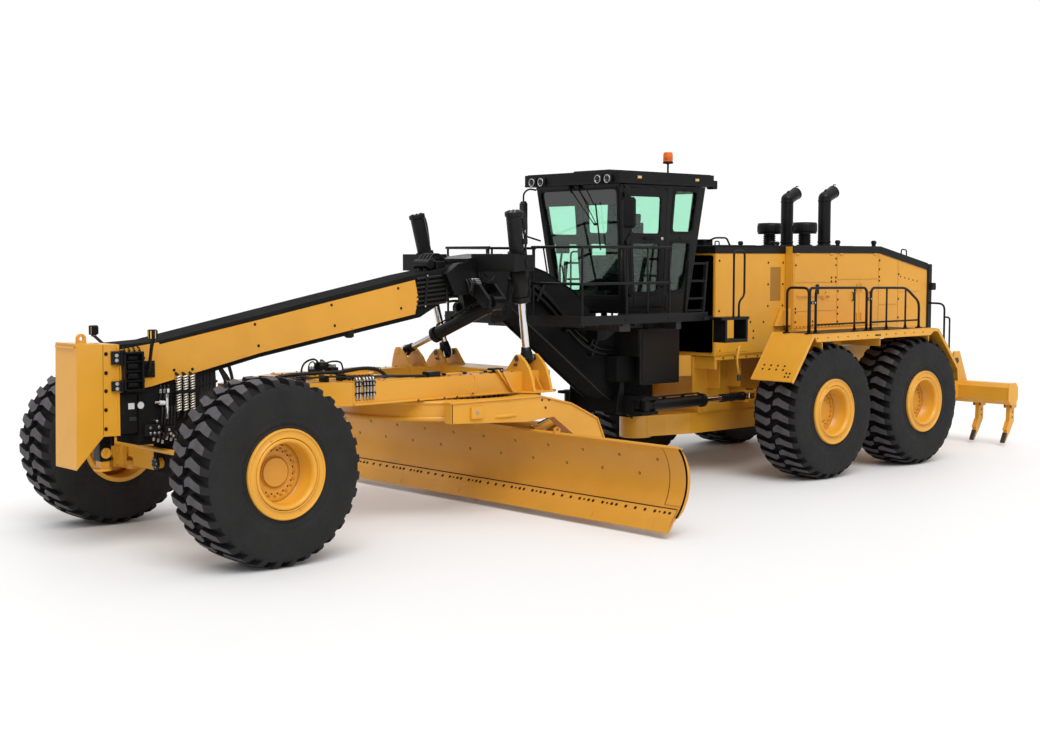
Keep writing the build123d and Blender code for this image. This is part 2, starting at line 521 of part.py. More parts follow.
# handrails on the fenders: x, y, z
hr = []
HR_SECTIONS = [
    [(-8800, 1620, FENDER_Z), (-8800, 1620, 2740), (-8800, 2000, 2740), (-8800, 2000, FENDER_Z)],
    [(-8960, 2000, FENDER_Z), (-8960, 2000, 2738), (-10190, 2000, 2724), (-10190, 2000, FENDER_Z)],
    [(-10300, 2000, FENDER_Z), (-10300, 2000, 2722), (-11200, 2000, 2708), (-11560, 2000, 2490), (-11560, 2000, FENDER_Z)]]
for section in HR_SECTIONS:
    hr += rail(section, 19)
hr += rail([(-8960, 2000, 2215), (-10190, 2000, 2215)], 14) + rail([(-10300, 2000, 2215), (-11560, 2000, 2215)], 14)
for x, z in ((-9890, 2725), (-10700, 2714), (-11195, 2700)):
    hr += rail([(x, 2000, FENDER_Z), (x, 2000, z)], 14)
for x, y in ((-8800, 1620), (-8800, 2000), (-8960, 2000), (-9890, 2000), (-10190, 2000), (-10300, 2000), (-10700, 2000), (-11195, 2000), (-11560, 2000)):
    hr.append(box(x - 45, x + 45, y - 35, y + 35, FENDER_Z, FENDER_Z + 20))
hr.append(box(-8960, -8800, 1985, 2015, 2525, 2560))
hr.append(box(-10300, -10190, 1985, 2015, 2525, 2560))
rails_left = join(*hr)
# guard rails of the rear steps
guard = join(*rail([(-13350, 910, 2420), (-13350, 1330, 2390), (-13350, 1330, 1550)], 17),
             *rail([(-13350, 1330, 2180), (-13350, 1430, 2180), (-13350, 1430, 1550)], 15),
             box(-13400, -13302, 900, 1460, 1525, 1555), box(-13380, -13320, 900, 935, 1550, 2430))
both("rear_handrails", *[p for p in rails_left.solids()], guard)

# exhaust stacks: vertical pipe with a turned-back outlet
st = join(cyl_z(-11353, 370, 3330, 4110, 100), cyl((-11353, 370, 4110), (-11590, 370, 4215), 100),
          Solid.make_sphere(100, Plane(origin=(-11353, 370, 4110))))
both("exhaust_stacks", st)
pc = join(cyl_z(-10873, 347, 3330, 3560, 90), cyl_z(-10873, 347, 3540, 3715, 185))
both("pre_cleaners", pc)

# ---------------------------------------------------------------- ripper
# section of the ripper's beam, then the arms: x, z
RIP_BEAM = [(-14860, 790), (-14860, 960), (-14790, 1050), (-14620, 1050), (-14560, 980), (-14560, 770), (-14640, 690), (-14790, 690)]
RIP_ARM = [(RIP_X + 80, RIP_Z + 45), (RIP_X + 80, RIP_Z - 45), (RIP_X + 30, RIP_Z - 85), (-14560, 760), (-14700, 780),
           (-14850, 1030), (-14590, 1560), (-14420, 1560), (-14390, 1260), (-14250, 1090), (RIP_X + 30, RIP_Z + 85)]
rip = [prism_y(RIP_BEAM, -1830, 1830)]
for s in (1, -1):
    for k in (-1, 1):
        y0 = s * (RIP_CYL_Y + k * 90)
        rip.append(prism_y(RIP_ARM, y0, y0 + s * k * 35))
    rip.append(cyl_y(RIP_X, RIP_Z, s * (RIP_CYL_Y - 125), s * (RIP_CYL_Y + 125), 45))
# shanks: x, z, tips forward
SHANK = [(-14860, 760), (-14720, 760), (-14700, 380), (-14620, 215), (-14545, 70), (-14585, 55), (-14710, 200), (-14850, 400)]
for i in range(7):
    y = (i - 3) * 580.0
    rip.append(prism_y(SHANK, y - 35, y + 35))
    rip.append(box(-14860, -14700, y - 75, y + 75, 640, 800))
ripper = join(*rip)
node("ripper", ripper)

ra, rb = (RIP_A[0], RIP_CYL_Y, RIP_A[1]), (RIP_B[0], RIP_CYL_Y, RIP_B[1])
both("ripper_barrels", join(barrel(ra, rb, 0, 525, 56, 44, 34), cyl_y(RIP_A[0], RIP_A[1], RIP_CYL_Y - 62, RIP_CYL_Y + 62, 60),
                              cyl_y(RIP_A[0], RIP_A[1], RIP_CYL_Y - 104, RIP_CYL_Y + 104, 28)))
both("ripper_rods", join(rod(ra, rb, 532, 34), cyl_y(RIP_B[0], RIP_B[1], RIP_CYL_Y - 78, RIP_CYL_Y + 78, 58)))

# ---------------------------------------------------------------- cab
# corner lines of the left side, at floor level and at the top: x, y
CZ0, CZ1 = 2400.0, 4150.0
A_LOW, A_TOP = (-6446.0, 708.0), (-6198.0, 822.0)      # front pillar
B_LOW, B_TOP = (-7163.0, None), (-7120.0, 866.0)       # pillar behind the door
R_LOW, R_TOP = (-7640.0, None), (-7870.0, 880.0)       # rear corner
WALL = 60.0


def plane_through(p, q, r):
    """plane whose normal points away from the cab's middle"""
    n = (V(q) - V(p)).cross(V(r) - V(p)).normalized()
    if n.dot(V(p) - Vector(-6950, 0, 3300)) < 0:
        n = n * -1
    return V(p), n


def at_y(plane, x, z):
    """y where a wall's plane has this x and z"""
    o, n = plane
    return o.Y - (n.X * (x - o.X) + n.Z * (z - o.Z)) / n.Y


side_plane = plane_through((*A_LOW, CZ0), (*A_TOP, CZ1), (*B_TOP, CZ1))
b_low_y = at_y(side_plane, B_LOW[0], CZ0)
rear_side_plane = plane_through((*B_TOP, CZ1), (B_LOW[0], b_low_y, CZ0), (*R_TOP, CZ1))
front_plane = plane_through((*A_LOW, CZ0), (*A_TOP, CZ1), (A_TOP[0], -A_TOP[1], CZ1))
back_plane = plane_through((R_LOW[0], 800, CZ0), (*R_TOP, CZ1), (R_TOP[0], -R_TOP[1], CZ1))


def flip(plane):
    o, n = plane
    return Vector(o.X, -o.Y, o.Z), Vector(n.X, -n.Y, n.Z)


CAB_WALLS = [side_plane, rear_side_plane, front_plane, back_plane, flip(side_plane), flip(rear_side_plane)]


def slab(plane, v0, v1, size=3000.0):
    """plate along a wall, from v0 to v1 outwards of its outer face"""
    o, n = plane
    frame = Plane(origin=tuple(o + n * v0), z_dir=tuple(n))
    return Solid.make_box(2 * size, 2 * size, v1 - v0, Plane(origin=tuple(frame.from_local_coords(Vector(-size, -size, 0))),
                                                             x_dir=tuple(frame.x_dir), z_dir=tuple(n)))


def cab_body(inset, z0, z1):
    return cut(box(-8100, -5900, -1000, 1000, z0, z1), *[slab(p, -inset, 2500) for p in CAB_WALLS])


def wall_piece(points, v0, v1, side, plane=side_plane):
    """part of a wall inside an (x, z) outline, v0 to v1 outwards of the outer face"""
    piece = slab(plane, v0, v1).intersect(prism_y(points, 500, 1300))
    piece = piece.solids()[0] if hasattr(piece, "solids") else piece
    return piece if side > 0 else mirror_y(piece)


# outlines on the left wall: x, z
DOOR_HOLE = [(-7097, 4112), (-6262, 4112), (-6494, 2470), (-7134, 2470)]
DOOR = [(-7091, 4106), (-6269, 4106), (-6499, 2477), (-7127, 2477)]
DOOR_UPPER = [(-7020, 4030), (-6345, 4030), (-6430, 3455), (-7032, 3455)]
DOOR_LOWER = [(-7035, 3395), (-6445, 3395), (-6540, 2660), (-7050, 2660)]
REAR_UPPER = [(-7230, 4105), (-7735, 4105), (-7665, 3500), (-7215, 3500)]
REAR_LOWER = [(-7225, 3390), (-7640, 3390), (-7590, 2930), (-7510, 2680), (-7215, 2680)]
SCREEN = [(-770, 4105), (770, 4105), (625, 2620), (-625, 2620)]      # y, z on the front wall

cab = cut(cab_body(0, CZ0, CZ1), cab_body(WALL, CZ0 + WALL, CZ1 + 100))
cab = cut(cab, prism_x(SCREEN, -6560, -5900), prism_x([(-700, 4090), (700, 4090), (670, 3350), (-670, 3350)], -8000, -7600))
for s in (1, -1):
    cab = cut(cab, *[wall_piece(o, -200, 200, s, w) for o, w in
                     ((DOOR_HOLE, side_plane), (REAR_UPPER, rear_side_plane), (REAR_LOWER, rear_side_plane))])
node("cab_frame", cab)

roof = join(box(-7990, -6075, -931, 931, 4160, 4320), box(-7000, -6500, -300, 300, 4320, 4370),
            box(-7800, -6300, -780, 780, 4151, 4165))
node("cab_roof", roof)

glass = [slab(front_plane, -36, -28).intersect(prism_x(SCREEN, -6700, -5900)),
         slab(back_plane, -36, -28).intersect(prism_x([(-700, 4090), (700, 4090), (670, 3350), (-670, 3350)], -8000, -7600))]
for s in (1, -1):
    glass += [wall_piece(o, -36, -28, s, rear_side_plane) for o in (REAR_UPPER, REAR_LOWER)]
node("cab_glass", *glass)

# hinge line of the left door, parallel to the front pillar: x, y, z at the two heights
HINGE_OUT = 16.0
_o, _n = side_plane
HINGE_LOW = Vector(-6490, at_y(side_plane, -6490, 2500), 2500) + _n * HINGE_OUT
HINGE_DIR = (Vector(*A_TOP, CZ1) - Vector(*A_LOW, CZ0)).normalized()
print("door hinge line from", [round(v, 2) for v in HINGE_LOW], "along", [round(v, 6) for v in HINGE_DIR])


def knuckle(t0, t1, u0, u1):
    """piece of hinge tube with its strap, t along the hinge line and u forward"""
    a, b = HINGE_LOW + HINGE_DIR * t0, HINGE_LOW + HINGE_DIR * t1
    z0, z1 = a.Z, b.Z
    strap = wall_piece([(a.X + u0, z0), (a.X + u1, z0), (b.X + u1, z1), (b.X + u0, z1)], -20, 12, 1)
    return join(cyl(tuple(a), tuple(b), 13), strap)


frame_side = [knuckle(t - 45, t - 2, 6, 42) for t in (200, 850, 1500)]
door_side = [knuckle(t + 2, t + 60, -60, -9) for t in (200, 850, 1500)]
cab = join(cab, *frame_side, *[mirror_y(k) for k in frame_side])
node("cab_frame", cab)

# doors, hinged at the front pillar, two panes each
for name, s in (("cab_door_left", 1), ("cab_door_right", -1)):
    d = wall_piece(DOOR, -45, 0, s)
    d = cut(d, wall_piece(DOOR_UPPER, -100, 100, s), wall_piece(DOOR_LOWER, -100, 100, s))
    d = join(d, wall_piece(DOOR_UPPER, -30, -22, s), wall_piece(DOOR_LOWER, -30, -22, s),
             *[k if s > 0 else mirror_y(k) for k in door_side])
    node(name, d)

seat = join(box(-7250, -6750, -260, 260, 2900, 3040), box(-7330, -7210, -250, 250, 3000, 3750),
            box(-7150, -6850, -150, 150, 2460, 2920),
            box(-7200, -6780, 290, 400, 3060, 3180), box(-7200, -6780, -400, -290, 3060, 3180),
            box(-7150, -6950, -400, 400, 2920, 2990), box(-7100, -7000, 300, 390, 2950, 3080), box(-7100, -7000, -390, -300, 2950, 3080))
node("operator_station", seat)
node("beacon", join(cyl_z(-7500, 500, 4320, 4500, 28), cyl_z(-7500, 500, 4490, 4650, 75)))

# ---------------------------------------------------------------- platforms and rails of the front frame
plat = [box(-6030, -4940, 360, 1350, 2310, 2350), box(-7400, -6030, 940, 1350, 2310, 2350), box(-7420, -7300, 1200, 1375, 2310, 2350),
        box(-5900, -5700, 250, 1300, 2200, 2310), box(-6900, -6800, 700, 1300, 2200, 2310)]
plat_l = join(*plat)
both("platforms", plat_l)

rl = []
rr = 19
for run in ([(-6650, 1330, 3300), (-4960, 1330, 3300), (-4960, 420, 3300)],
            [(-6650, 1330, 2830), (-4960, 1330, 2830), (-4960, 420, 2830)]):
    rl += rail(run, rr)
for x, y in ((-6625, 1330), (-5800, 1330), (-4985, 1330), (-4960, 445)):
    rl += rail([(x, y, 2350), (x, y, 3300)], rr - 3)
rails_l = join(*rl)
both("front_handrails", rails_l)

# ladders at the cab's back corners
lad = []
for x in (-7075, -7440):
    lad += [prism_y([(x - 20, 2350), (x + 20, 2350), (x - 60, 3110), (x - 100, 3110)], 1180, 1230)]
for z in (2440, 2605, 2845, 3085):
    dx = -80 * (z - 2350) / 760
    lad.append(box(-7440 + dx, -7075 + dx, 1185, 1225, z - 15, z + 15))
lad_l = join(*lad, box(-7510, -7040, 1180, 1350, 2350, 2365))
step = join(box(-7990, -7400, 1375, 1410, 2310, 2350), box(-7990, -7400, 1560, 1595, 2310, 2350),
            box(-7990, -7400, 1375, 1595, 2330, 2350),
            box(-7520, -7480, 1375, 1595, 2020, 2340), box(-7960, -7920, 1375, 1595, 2020, 2340),
            box(-7960, -7480, 1375, 1595, 2000, 2030))
both("ladders", lad_l, step)

# ---------------------------------------------------------------- export
for name, solids in NODES.items():
    moved = [s.moved(Location((X_SHIFT, 0, 0))) for s in solids]
    shape = moved[0] if len(moved) == 1 else Compound(children=moved)
    export_step(shape, "parts/" + name + ".step")
print(len(NODES), "nodes")
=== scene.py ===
import json
import math

import bpy
import bmesh
from mathutils import Matrix, Vector
from mathutils.geometry import tessellate_polygon

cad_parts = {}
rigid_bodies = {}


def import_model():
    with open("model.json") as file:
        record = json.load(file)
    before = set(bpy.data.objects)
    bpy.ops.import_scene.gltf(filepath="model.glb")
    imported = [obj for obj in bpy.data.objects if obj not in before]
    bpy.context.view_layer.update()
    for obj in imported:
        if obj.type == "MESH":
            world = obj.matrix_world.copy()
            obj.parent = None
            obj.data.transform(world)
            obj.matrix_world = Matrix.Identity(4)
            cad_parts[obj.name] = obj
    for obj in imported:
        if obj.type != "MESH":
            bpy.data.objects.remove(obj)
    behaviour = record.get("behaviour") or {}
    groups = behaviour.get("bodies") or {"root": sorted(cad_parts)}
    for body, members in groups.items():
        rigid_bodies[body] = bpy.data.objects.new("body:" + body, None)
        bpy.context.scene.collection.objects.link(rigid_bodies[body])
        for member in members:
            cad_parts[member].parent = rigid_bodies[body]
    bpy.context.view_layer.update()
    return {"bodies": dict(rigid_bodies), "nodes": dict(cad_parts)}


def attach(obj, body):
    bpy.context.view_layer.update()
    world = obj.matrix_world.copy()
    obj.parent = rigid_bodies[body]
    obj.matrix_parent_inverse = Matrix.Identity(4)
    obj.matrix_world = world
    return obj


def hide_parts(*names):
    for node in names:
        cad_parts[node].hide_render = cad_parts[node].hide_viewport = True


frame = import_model()
NODES = frame["nodes"]

# Places are written in millimetres: x forward from the front axle, y to the left, z up from the ground.
X_SHIFT = 6751.5


def P(x, y, z):
    return Vector(((x + X_SHIFT) / 1000.0, y / 1000.0, z / 1000.0))


# ---------------------------------------------------------------- materials
def new_mat(name):
    m = bpy.data.materials.new(name)
    m.use_nodes = True
    nt = m.node_tree
    nt.nodes.clear()
    out = nt.nodes.new("ShaderNodeOutputMaterial")
    b = nt.nodes.new("ShaderNodeBsdfPrincipled")
    nt.links.new(b.outputs["BSDF"], out.inputs["Surface"])
    return m, nt, b


def coords(nt, scale=(1, 1, 1)):
    tc = nt.nodes.new("ShaderNodeTexCoord")
    mp = nt.nodes.new("ShaderNodeMapping")
    mp.inputs["Scale"].default_value = scale
    nt.links.new(tc.outputs["Object"], mp.inputs["Vector"])
    return mp.outputs["Vector"]


def noise(nt, vec, scale, detail=4.0, rough=0.55):
    n = nt.nodes.new("ShaderNodeTexNoise")
    n.inputs["Scale"].default_value = scale
    n.inputs["Detail"].default_value = detail
    n.inputs["Roughness"].default_value = rough
    nt.links.new(vec, n.inputs["Vector"])
    return n.outputs["Fac"]


def ramp(nt, fac, stops):
    r = nt.nodes.new("ShaderNodeValToRGB")
    e = r.color_ramp.elements
    e[0].position, e[0].color = stops[0][0], (*stops[0][1], 1)
    e[1].position, e[1].color = stops[-1][0], (*stops[-1][1], 1)
    for pos, col in stops[1:-1]:
        k = e.new(pos)
        k.color = (*col, 1)
    nt.links.new(fac, r.inputs["Fac"])
    return r.outputs["Color"]


def spread(nt, fac, lo, hi, a=0.3, b=0.7):
    m = nt.nodes.new("ShaderNodeMapRange")
    m.inputs["From Min"].default_value = a
    m.inputs["From Max"].default_value = b
    m.inputs["To Min"].default_value = lo
    m.inputs["To Max"].default_value = hi
    nt.links.new(fac, m.inputs["Value"])
    return m.outputs["Result"]


def bump(nt, height, strength, distance, edge=0.0, under=None):
    b = nt.nodes.new("ShaderNodeBump")
    b.inputs["Strength"].default_value = strength
    b.inputs["Distance"].default_value = distance
    nt.links.new(height, b.inputs["Height"])
    if under is not None:
        nt.links.new(under, b.inputs["Normal"])
    elif edge > 0:
        v = nt.nodes.new("ShaderNodeBevel")
        v.samples = 4
        v.inputs["Radius"].default_value = edge
        nt.links.new(v.outputs["Normal"], b.inputs["Normal"])
    return b.outputs["Normal"]


def finish_mat(name, dark, light, rough, metal=0.0, coat=0.0, scale=2.2, grain=140.0, grain_depth=0.0006,
               grain_strength=0.25, edge=0.0, spec=0.5):
    """paint, rubber or metal: two close tones in soft patches, a fine grain and a varying gloss"""
    m, nt, b = new_mat(name)
    vec = coords(nt)
    tone = noise(nt, vec, scale, 6.0, 0.6)
    nt.links.new(ramp(nt, tone, [(0.32, dark), (0.68, light)]), b.inputs["Base Color"])
    gloss = noise(nt, vec, scale * 5.0, 5.0, 0.6)
    nt.links.new(spread(nt, gloss, rough[0], rough[1]), b.inputs["Roughness"])
    fine = noise(nt, vec, grain, 2.0, 0.5)
    nt.links.new(bump(nt, fine, grain_strength, grain_depth, edge), b.inputs["Normal"])
    b.inputs["Metallic"].default_value = metal
    b.inputs["Coat Weight"].default_value = coat
    b.inputs["Coat Roughness"].default_value = 0.12
    b.inputs["Specular IOR Level"].default_value = spec
    return m


YELLOW = finish_mat("yellow_paint", (0.660, 0.308, 0.026), (0.705, 0.334, 0.030), (0.28, 0.40), coat=0.12, edge=0.006,
                    grain=90.0, grain_strength=0.06, spec=0.4)
# matt copy of the yellow paint: the higher roughness is real, its darker tone is painted shade
YELLOW_MATT_SHADE = finish_mat("yellow_paint_matt_painted_shade", (0.62, 0.284, 0.025), (0.67, 0.312, 0.028), (0.40, 0.52), edge=0.004,
                       grain=90.0, grain_strength=0.06)
BLACK = finish_mat("black_paint", (0.0040, 0.0040, 0.0042), (0.0065, 0.0065, 0.0066), (0.30, 0.44), edge=0.005,
                   grain=220.0, grain_strength=0.10, spec=0.22)
BEAM_BLACK = finish_mat("beam_black", (0.0110, 0.0110, 0.0112), (0.0165, 0.0165, 0.0167), (0.7, 0.85), grain=220.0, grain_strength=0.12,
                        spec=0.02)
BLACK_M = finish_mat("black_matt", (0.0035, 0.0035, 0.0037), (0.0058, 0.0058, 0.0060), (0.5, 0.65), grain=300.0, grain_strength=0.3, spec=0.22)
# painted shade: a darker copy of the yellow paint for the blade, which lies in the shade under the machine
YELLOW_BLADE_SHADE = finish_mat("yellow_blade_painted_shade", (0.555, 0.250, 0.021), (0.600, 0.272, 0.024), (0.34, 0.46), coat=0.05, edge=0.006,
                      grain=90.0, grain_strength=0.06, spec=0.4)
RUBBER = finish_mat("tyre_rubber", (0.0125, 0.0125, 0.0125), (0.0185, 0.0183, 0.0180), (0.62, 0.78), scale=3.0, grain=120.0,
                    grain_strength=0.35, grain_depth=0.001, spec=0.2)
# painted shade: a darker copy of the tyre rubber for the groove floor and the lug flanks between the lugs
GROOVE_SHADE = finish_mat("tread_groove_painted_shade", (0.0050, 0.0050, 0.0052), (0.0085, 0.0085, 0.0088), (0.65, 0.8), scale=6.0, grain=120.0,
                    grain_strength=0.35, grain_depth=0.001, spec=0.15)
# painted highlight: a lighter copy of the tyre rubber for the lug tops that catch the light
TREAD_HIGHLIGHT = finish_mat("tread_face_painted_highlight", (0.058, 0.053, 0.058), (0.090, 0.083, 0.090), (0.62, 0.78), scale=9.0, grain=160.0,
                   grain_strength=0.4, grain_depth=0.001, spec=0.3)
HOSE = finish_mat("hose_rubber", (0.0045, 0.0045, 0.0045), (0.0085, 0.0085, 0.0088), (0.34, 0.48), grain=400.0, grain_strength=0.3, spec=0.35)
CHROME = finish_mat("chrome_rod", (0.66, 0.66, 0.68), (0.78, 0.78, 0.80), (0.09, 0.17), metal=1.0, grain=500.0, grain_strength=0.03)
STEEL = finish_mat("bare_steel", (0.42, 0.42, 0.43), (0.56, 0.56, 0.57), (0.24, 0.38), metal=1.0, grain=200.0, grain_strength=0.1)
DARKSTEEL = finish_mat("dark_steel", (0.055, 0.050, 0.047), (0.085, 0.078, 0.072), (0.36, 0.5), metal=0.7, grain=150.0)
IRON = finish_mat("engine_iron", (0.10, 0.10, 0.10), (0.16, 0.16, 0.16), (0.5, 0.65), metal=0.3, grain=80.0, grain_strength=0.5)
# painted shade: near-black brown that stands in for the shade in bolt recesses, holes, gaps and seams, and on the bolt
# heads set in them
RECESS_SHADE = finish_mat("bolt_recess_painted_shade", (0.006, 0.004, 0.003), (0.014, 0.008, 0.005), (0.6, 0.75), grain=200.0, spec=0.2)
GREY = finish_mat("cab_trim_grey", (0.020, 0.0205, 0.021), (0.032, 0.0325, 0.034), (0.5, 0.65), grain=350.0, grain_strength=0.35, spec=0.3)
WHITE = finish_mat("plate_grey", (0.62, 0.62, 0.61), (0.70, 0.70, 0.69), (0.4, 0.5), grain=200.0)
AMBER = finish_mat("amber_lens", (0.75, 0.42, 0.04), (0.85, 0.52, 0.08), (0.18, 0.26), coat=0.6, grain=90.0)
BRASS = finish_mat("fitting_zinc", (0.60, 0.58, 0.50), (0.74, 0.72, 0.66), (0.22, 0.34), metal=1.0, grain=300.0)
MIRROR = finish_mat("mirror_glass", (0.70, 0.73, 0.75), (0.76, 0.79, 0.80), (0.03, 0.06), metal=1.0, grain=30.0, grain_strength=0.01)


def tread_plate(name):
    """black steel plate with a raised lozenge pattern"""
    m, nt, b = new_mat(name)
    vec = coords(nt)
    waves = []
    for ang in (0.785, -0.785):
        mp = nt.nodes.new("ShaderNodeMapping")
        mp.inputs["Rotation"].default_value = (0, 0, ang)
        nt.links.new(vec, mp.inputs["Vector"])
        w = nt.nodes.new("ShaderNodeTexWave")
        w.inputs["Scale"].default_value = 9.0
        nt.links.new(mp.outputs["Vector"], w.inputs["Vector"])
        waves.append(w.outputs["Fac"])
    mx = nt.nodes.new("ShaderNodeMath")
    mx.operation = "MULTIPLY"
    nt.links.new(waves[0], mx.inputs[0])
    nt.links.new(waves[1], mx.inputs[1])
    nt.links.new(ramp(nt, noise(nt, vec, 3.0), [(0.3, (0.0055, 0.0055, 0.006)), (0.7, (0.010, 0.010, 0.0105))]), b.inputs["Base Color"])
    nt.links.new(spread(nt, noise(nt, vec, 14.0), 0.38, 0.55), b.inputs["Roughness"])
    nt.links.new(bump(nt, mx.outputs[0], 0.5, 0.003, 0.004), b.inputs["Normal"])
    return m


PLATE = tread_plate("tread_plate")


def perforated(name, base, scale):
    m, nt, b = new_mat(name)
    vec = coords(nt)
    v = nt.nodes.new("ShaderNodeTexVoronoi")
    v.inputs["Scale"].default_value = scale
    v.inputs["Randomness"].default_value = 0.0
    nt.links.new(vec, v.inputs["Vector"])
    # the holes are dark dots: painted shade inside the holes
    nt.links.new(ramp(nt, v.outputs["Distance"], [(0.30, tuple(c * 0.08 for c in base)), (0.38, base)]), b.inputs["Base Color"])
    nt.links.new(spread(nt, noise(nt, vec, 12.0), 0.38, 0.5), b.inputs["Roughness"])
    nt.links.new(bump(nt, v.outputs["Distance"], 0.6, 0.003), b.inputs["Normal"])
    return m


# the yellow grille is a darker copy of the yellow paint: painted shade for the grille set behind the panel
GRILLE_Y_SHADE = perforated("perforated_yellow_painted_shade", (0.36, 0.165, 0.020), 62.0)
GRILLE_B = perforated("perforated_black", (0.012, 0.012, 0.012), 40.0)


def fabric(name):
    m, nt, b = new_mat(name)
    vec = coords(nt)
    ws = []
    for rot in ((0, 0, 0), (0, 0, 1.5708)):
        mp = nt.nodes.new("ShaderNodeMapping")
        mp.inputs["Rotation"].default_value = rot
        nt.links.new(vec, mp.inputs["Vector"])
        w = nt.nodes.new("ShaderNodeTexWave")
        w.inputs["Scale"].default_value = 160.0
        nt.links.new(mp.outputs["Vector"], w.inputs["Vector"])
        ws.append(w.outputs["Fac"])
    mx = nt.nodes.new("ShaderNodeMath")
    mx.operation = "ADD"
    nt.links.new(ws[0], mx.inputs[0])
    nt.links.new(ws[1], mx.inputs[1])
    nt.links.new(ramp(nt, noise(nt, vec, 60.0), [(0.3, (0.018, 0.019, 0.021)), (0.7, (0.040, 0.041, 0.045))]), b.inputs["Base Color"])
    b.inputs["Roughness"].default_value = 0.9
    b.inputs["Sheen Weight"].default_value = 0.3
    nt.links.new(bump(nt, mx.outputs[0], 0.4, 0.001), b.inputs["Normal"])
    return m


FABRIC = fabric("seat_fabric")


def clear(name, color, rough, ior=1.45, transmission=1.0):
    m, nt, b = new_mat(name)
    vec = coords(nt)
    nt.links.new(ramp(nt, noise(nt, vec, 1.5), [(0.2, tuple(c * 0.985 for c in color)), (0.8, color)]), b.inputs["Base Color"])
    b.inputs["Roughness"].default_value = rough
    b.inputs["IOR"].default_value = ior
    b.inputs["Transmission Weight"].default_value = transmission
    return m


GLASS = clear("cab_glass", (0.62, 0.93, 0.78), 0.01)
LENS = clear("lamp_lens", (0.95, 0.96, 0.98), 0.08)
BEACON = clear("beacon_orange", (1.0, 0.19, 0.015), 0.18, transmission=0.35)

# ---------------------------------------------------------------- shapes, in millimetres
AX = {"x": Vector((1, 0, 0)), "y": Vector((0, 1, 0)), "z": Vector((0, 0, 1))}


def V(p):
    return Vector(p)


def basis(n):
    n = V(n).normalized()
    ref = Vector((0, 0, 1)) if abs(n.z) < 0.9 else Vector((1, 0, 0))
    a = n.cross(ref).normalized()
    return a, n.cross(a).normalized(), n


def smooth(points, k=8):
    """soft line through the points of a hose"""
    p = [V(q) for q in points]
    p = [p[0] * 2 - p[1]] + p + [p[-1] * 2 - p[-2]]
    out = []
    for i in range(1, len(p) - 2):
        for j in range(k):
            t = j / k
            a, b, c, d = p[i - 1], p[i], p[i + 1], p[i + 2]
            out.append(0.5 * ((2 * b) + (c - a) * t + (2 * a - 5 * b + 4 * c - d) * t * t + (3 * b - a - 3 * c + d) * t ** 3))
    return out + [p[-2]]


def bent(points, r, k=6):
    """straight runs of pipe with bends of radius r"""
    p = [V(q) for q in points]
    out = [p[0]]
    for a, b, c in zip(p[:-2], p[1:-1], p[2:]):
        u, w = (a - b), (c - b)
        d = min(r, u.length * 0.48, w.length * 0.48)
        s, e = b + u.normalized() * d, b + w.normalized() * d
        for j in range(k + 1):
            t = j / k
            out.append(s * (1 - t) ** 2 + b * 2 * t * (1 - t) + e * t * t)
    return out + [p[-1]]


def rounded(poly, r, k=5):
    """2-D outline with rounded corners"""
    out = []
    n = len(poly)
    for i in range(n):
        a, b, c = Vector(poly[i - 1]), Vector(poly[i]), Vector(poly[(i + 1) % n])
        u, w = a - b, c - b
        d = min(r, u.length * 0.48, w.length * 0.48)
        s, e = b + u.normalized() * d, b + w.normalized() * d
        for j in range(k + 1):
            t = j / k
            out.append(tuple(s * (1 - t) ** 2 + b * 2 * t * (1 - t) + e * t * t))
    return out


def inset(poly, d):
    """2-D outline moved inwards by d"""
    n = len(poly)
    area = sum(poly[i - 1][0] * poly[i][1] - poly[i][0] * poly[i - 1][1] for i in range(n))
    k = 1 if area > 0 else -1
    out = []
    for i in range(n):
        a, b, c = Vector(poly[i - 1]), Vector(poly[i]), Vector(poly[(i + 1) % n])
        u, w = (b - a).normalized(), (c - b).normalized()
        nu, nw = Vector((-u.y, u.x)) * k, Vector((-w.y, w.x)) * k
        m = (nu + nw).normalized()
        out.append(tuple(b + m * (d / max(0.3, m.dot(nu)))))
    return out


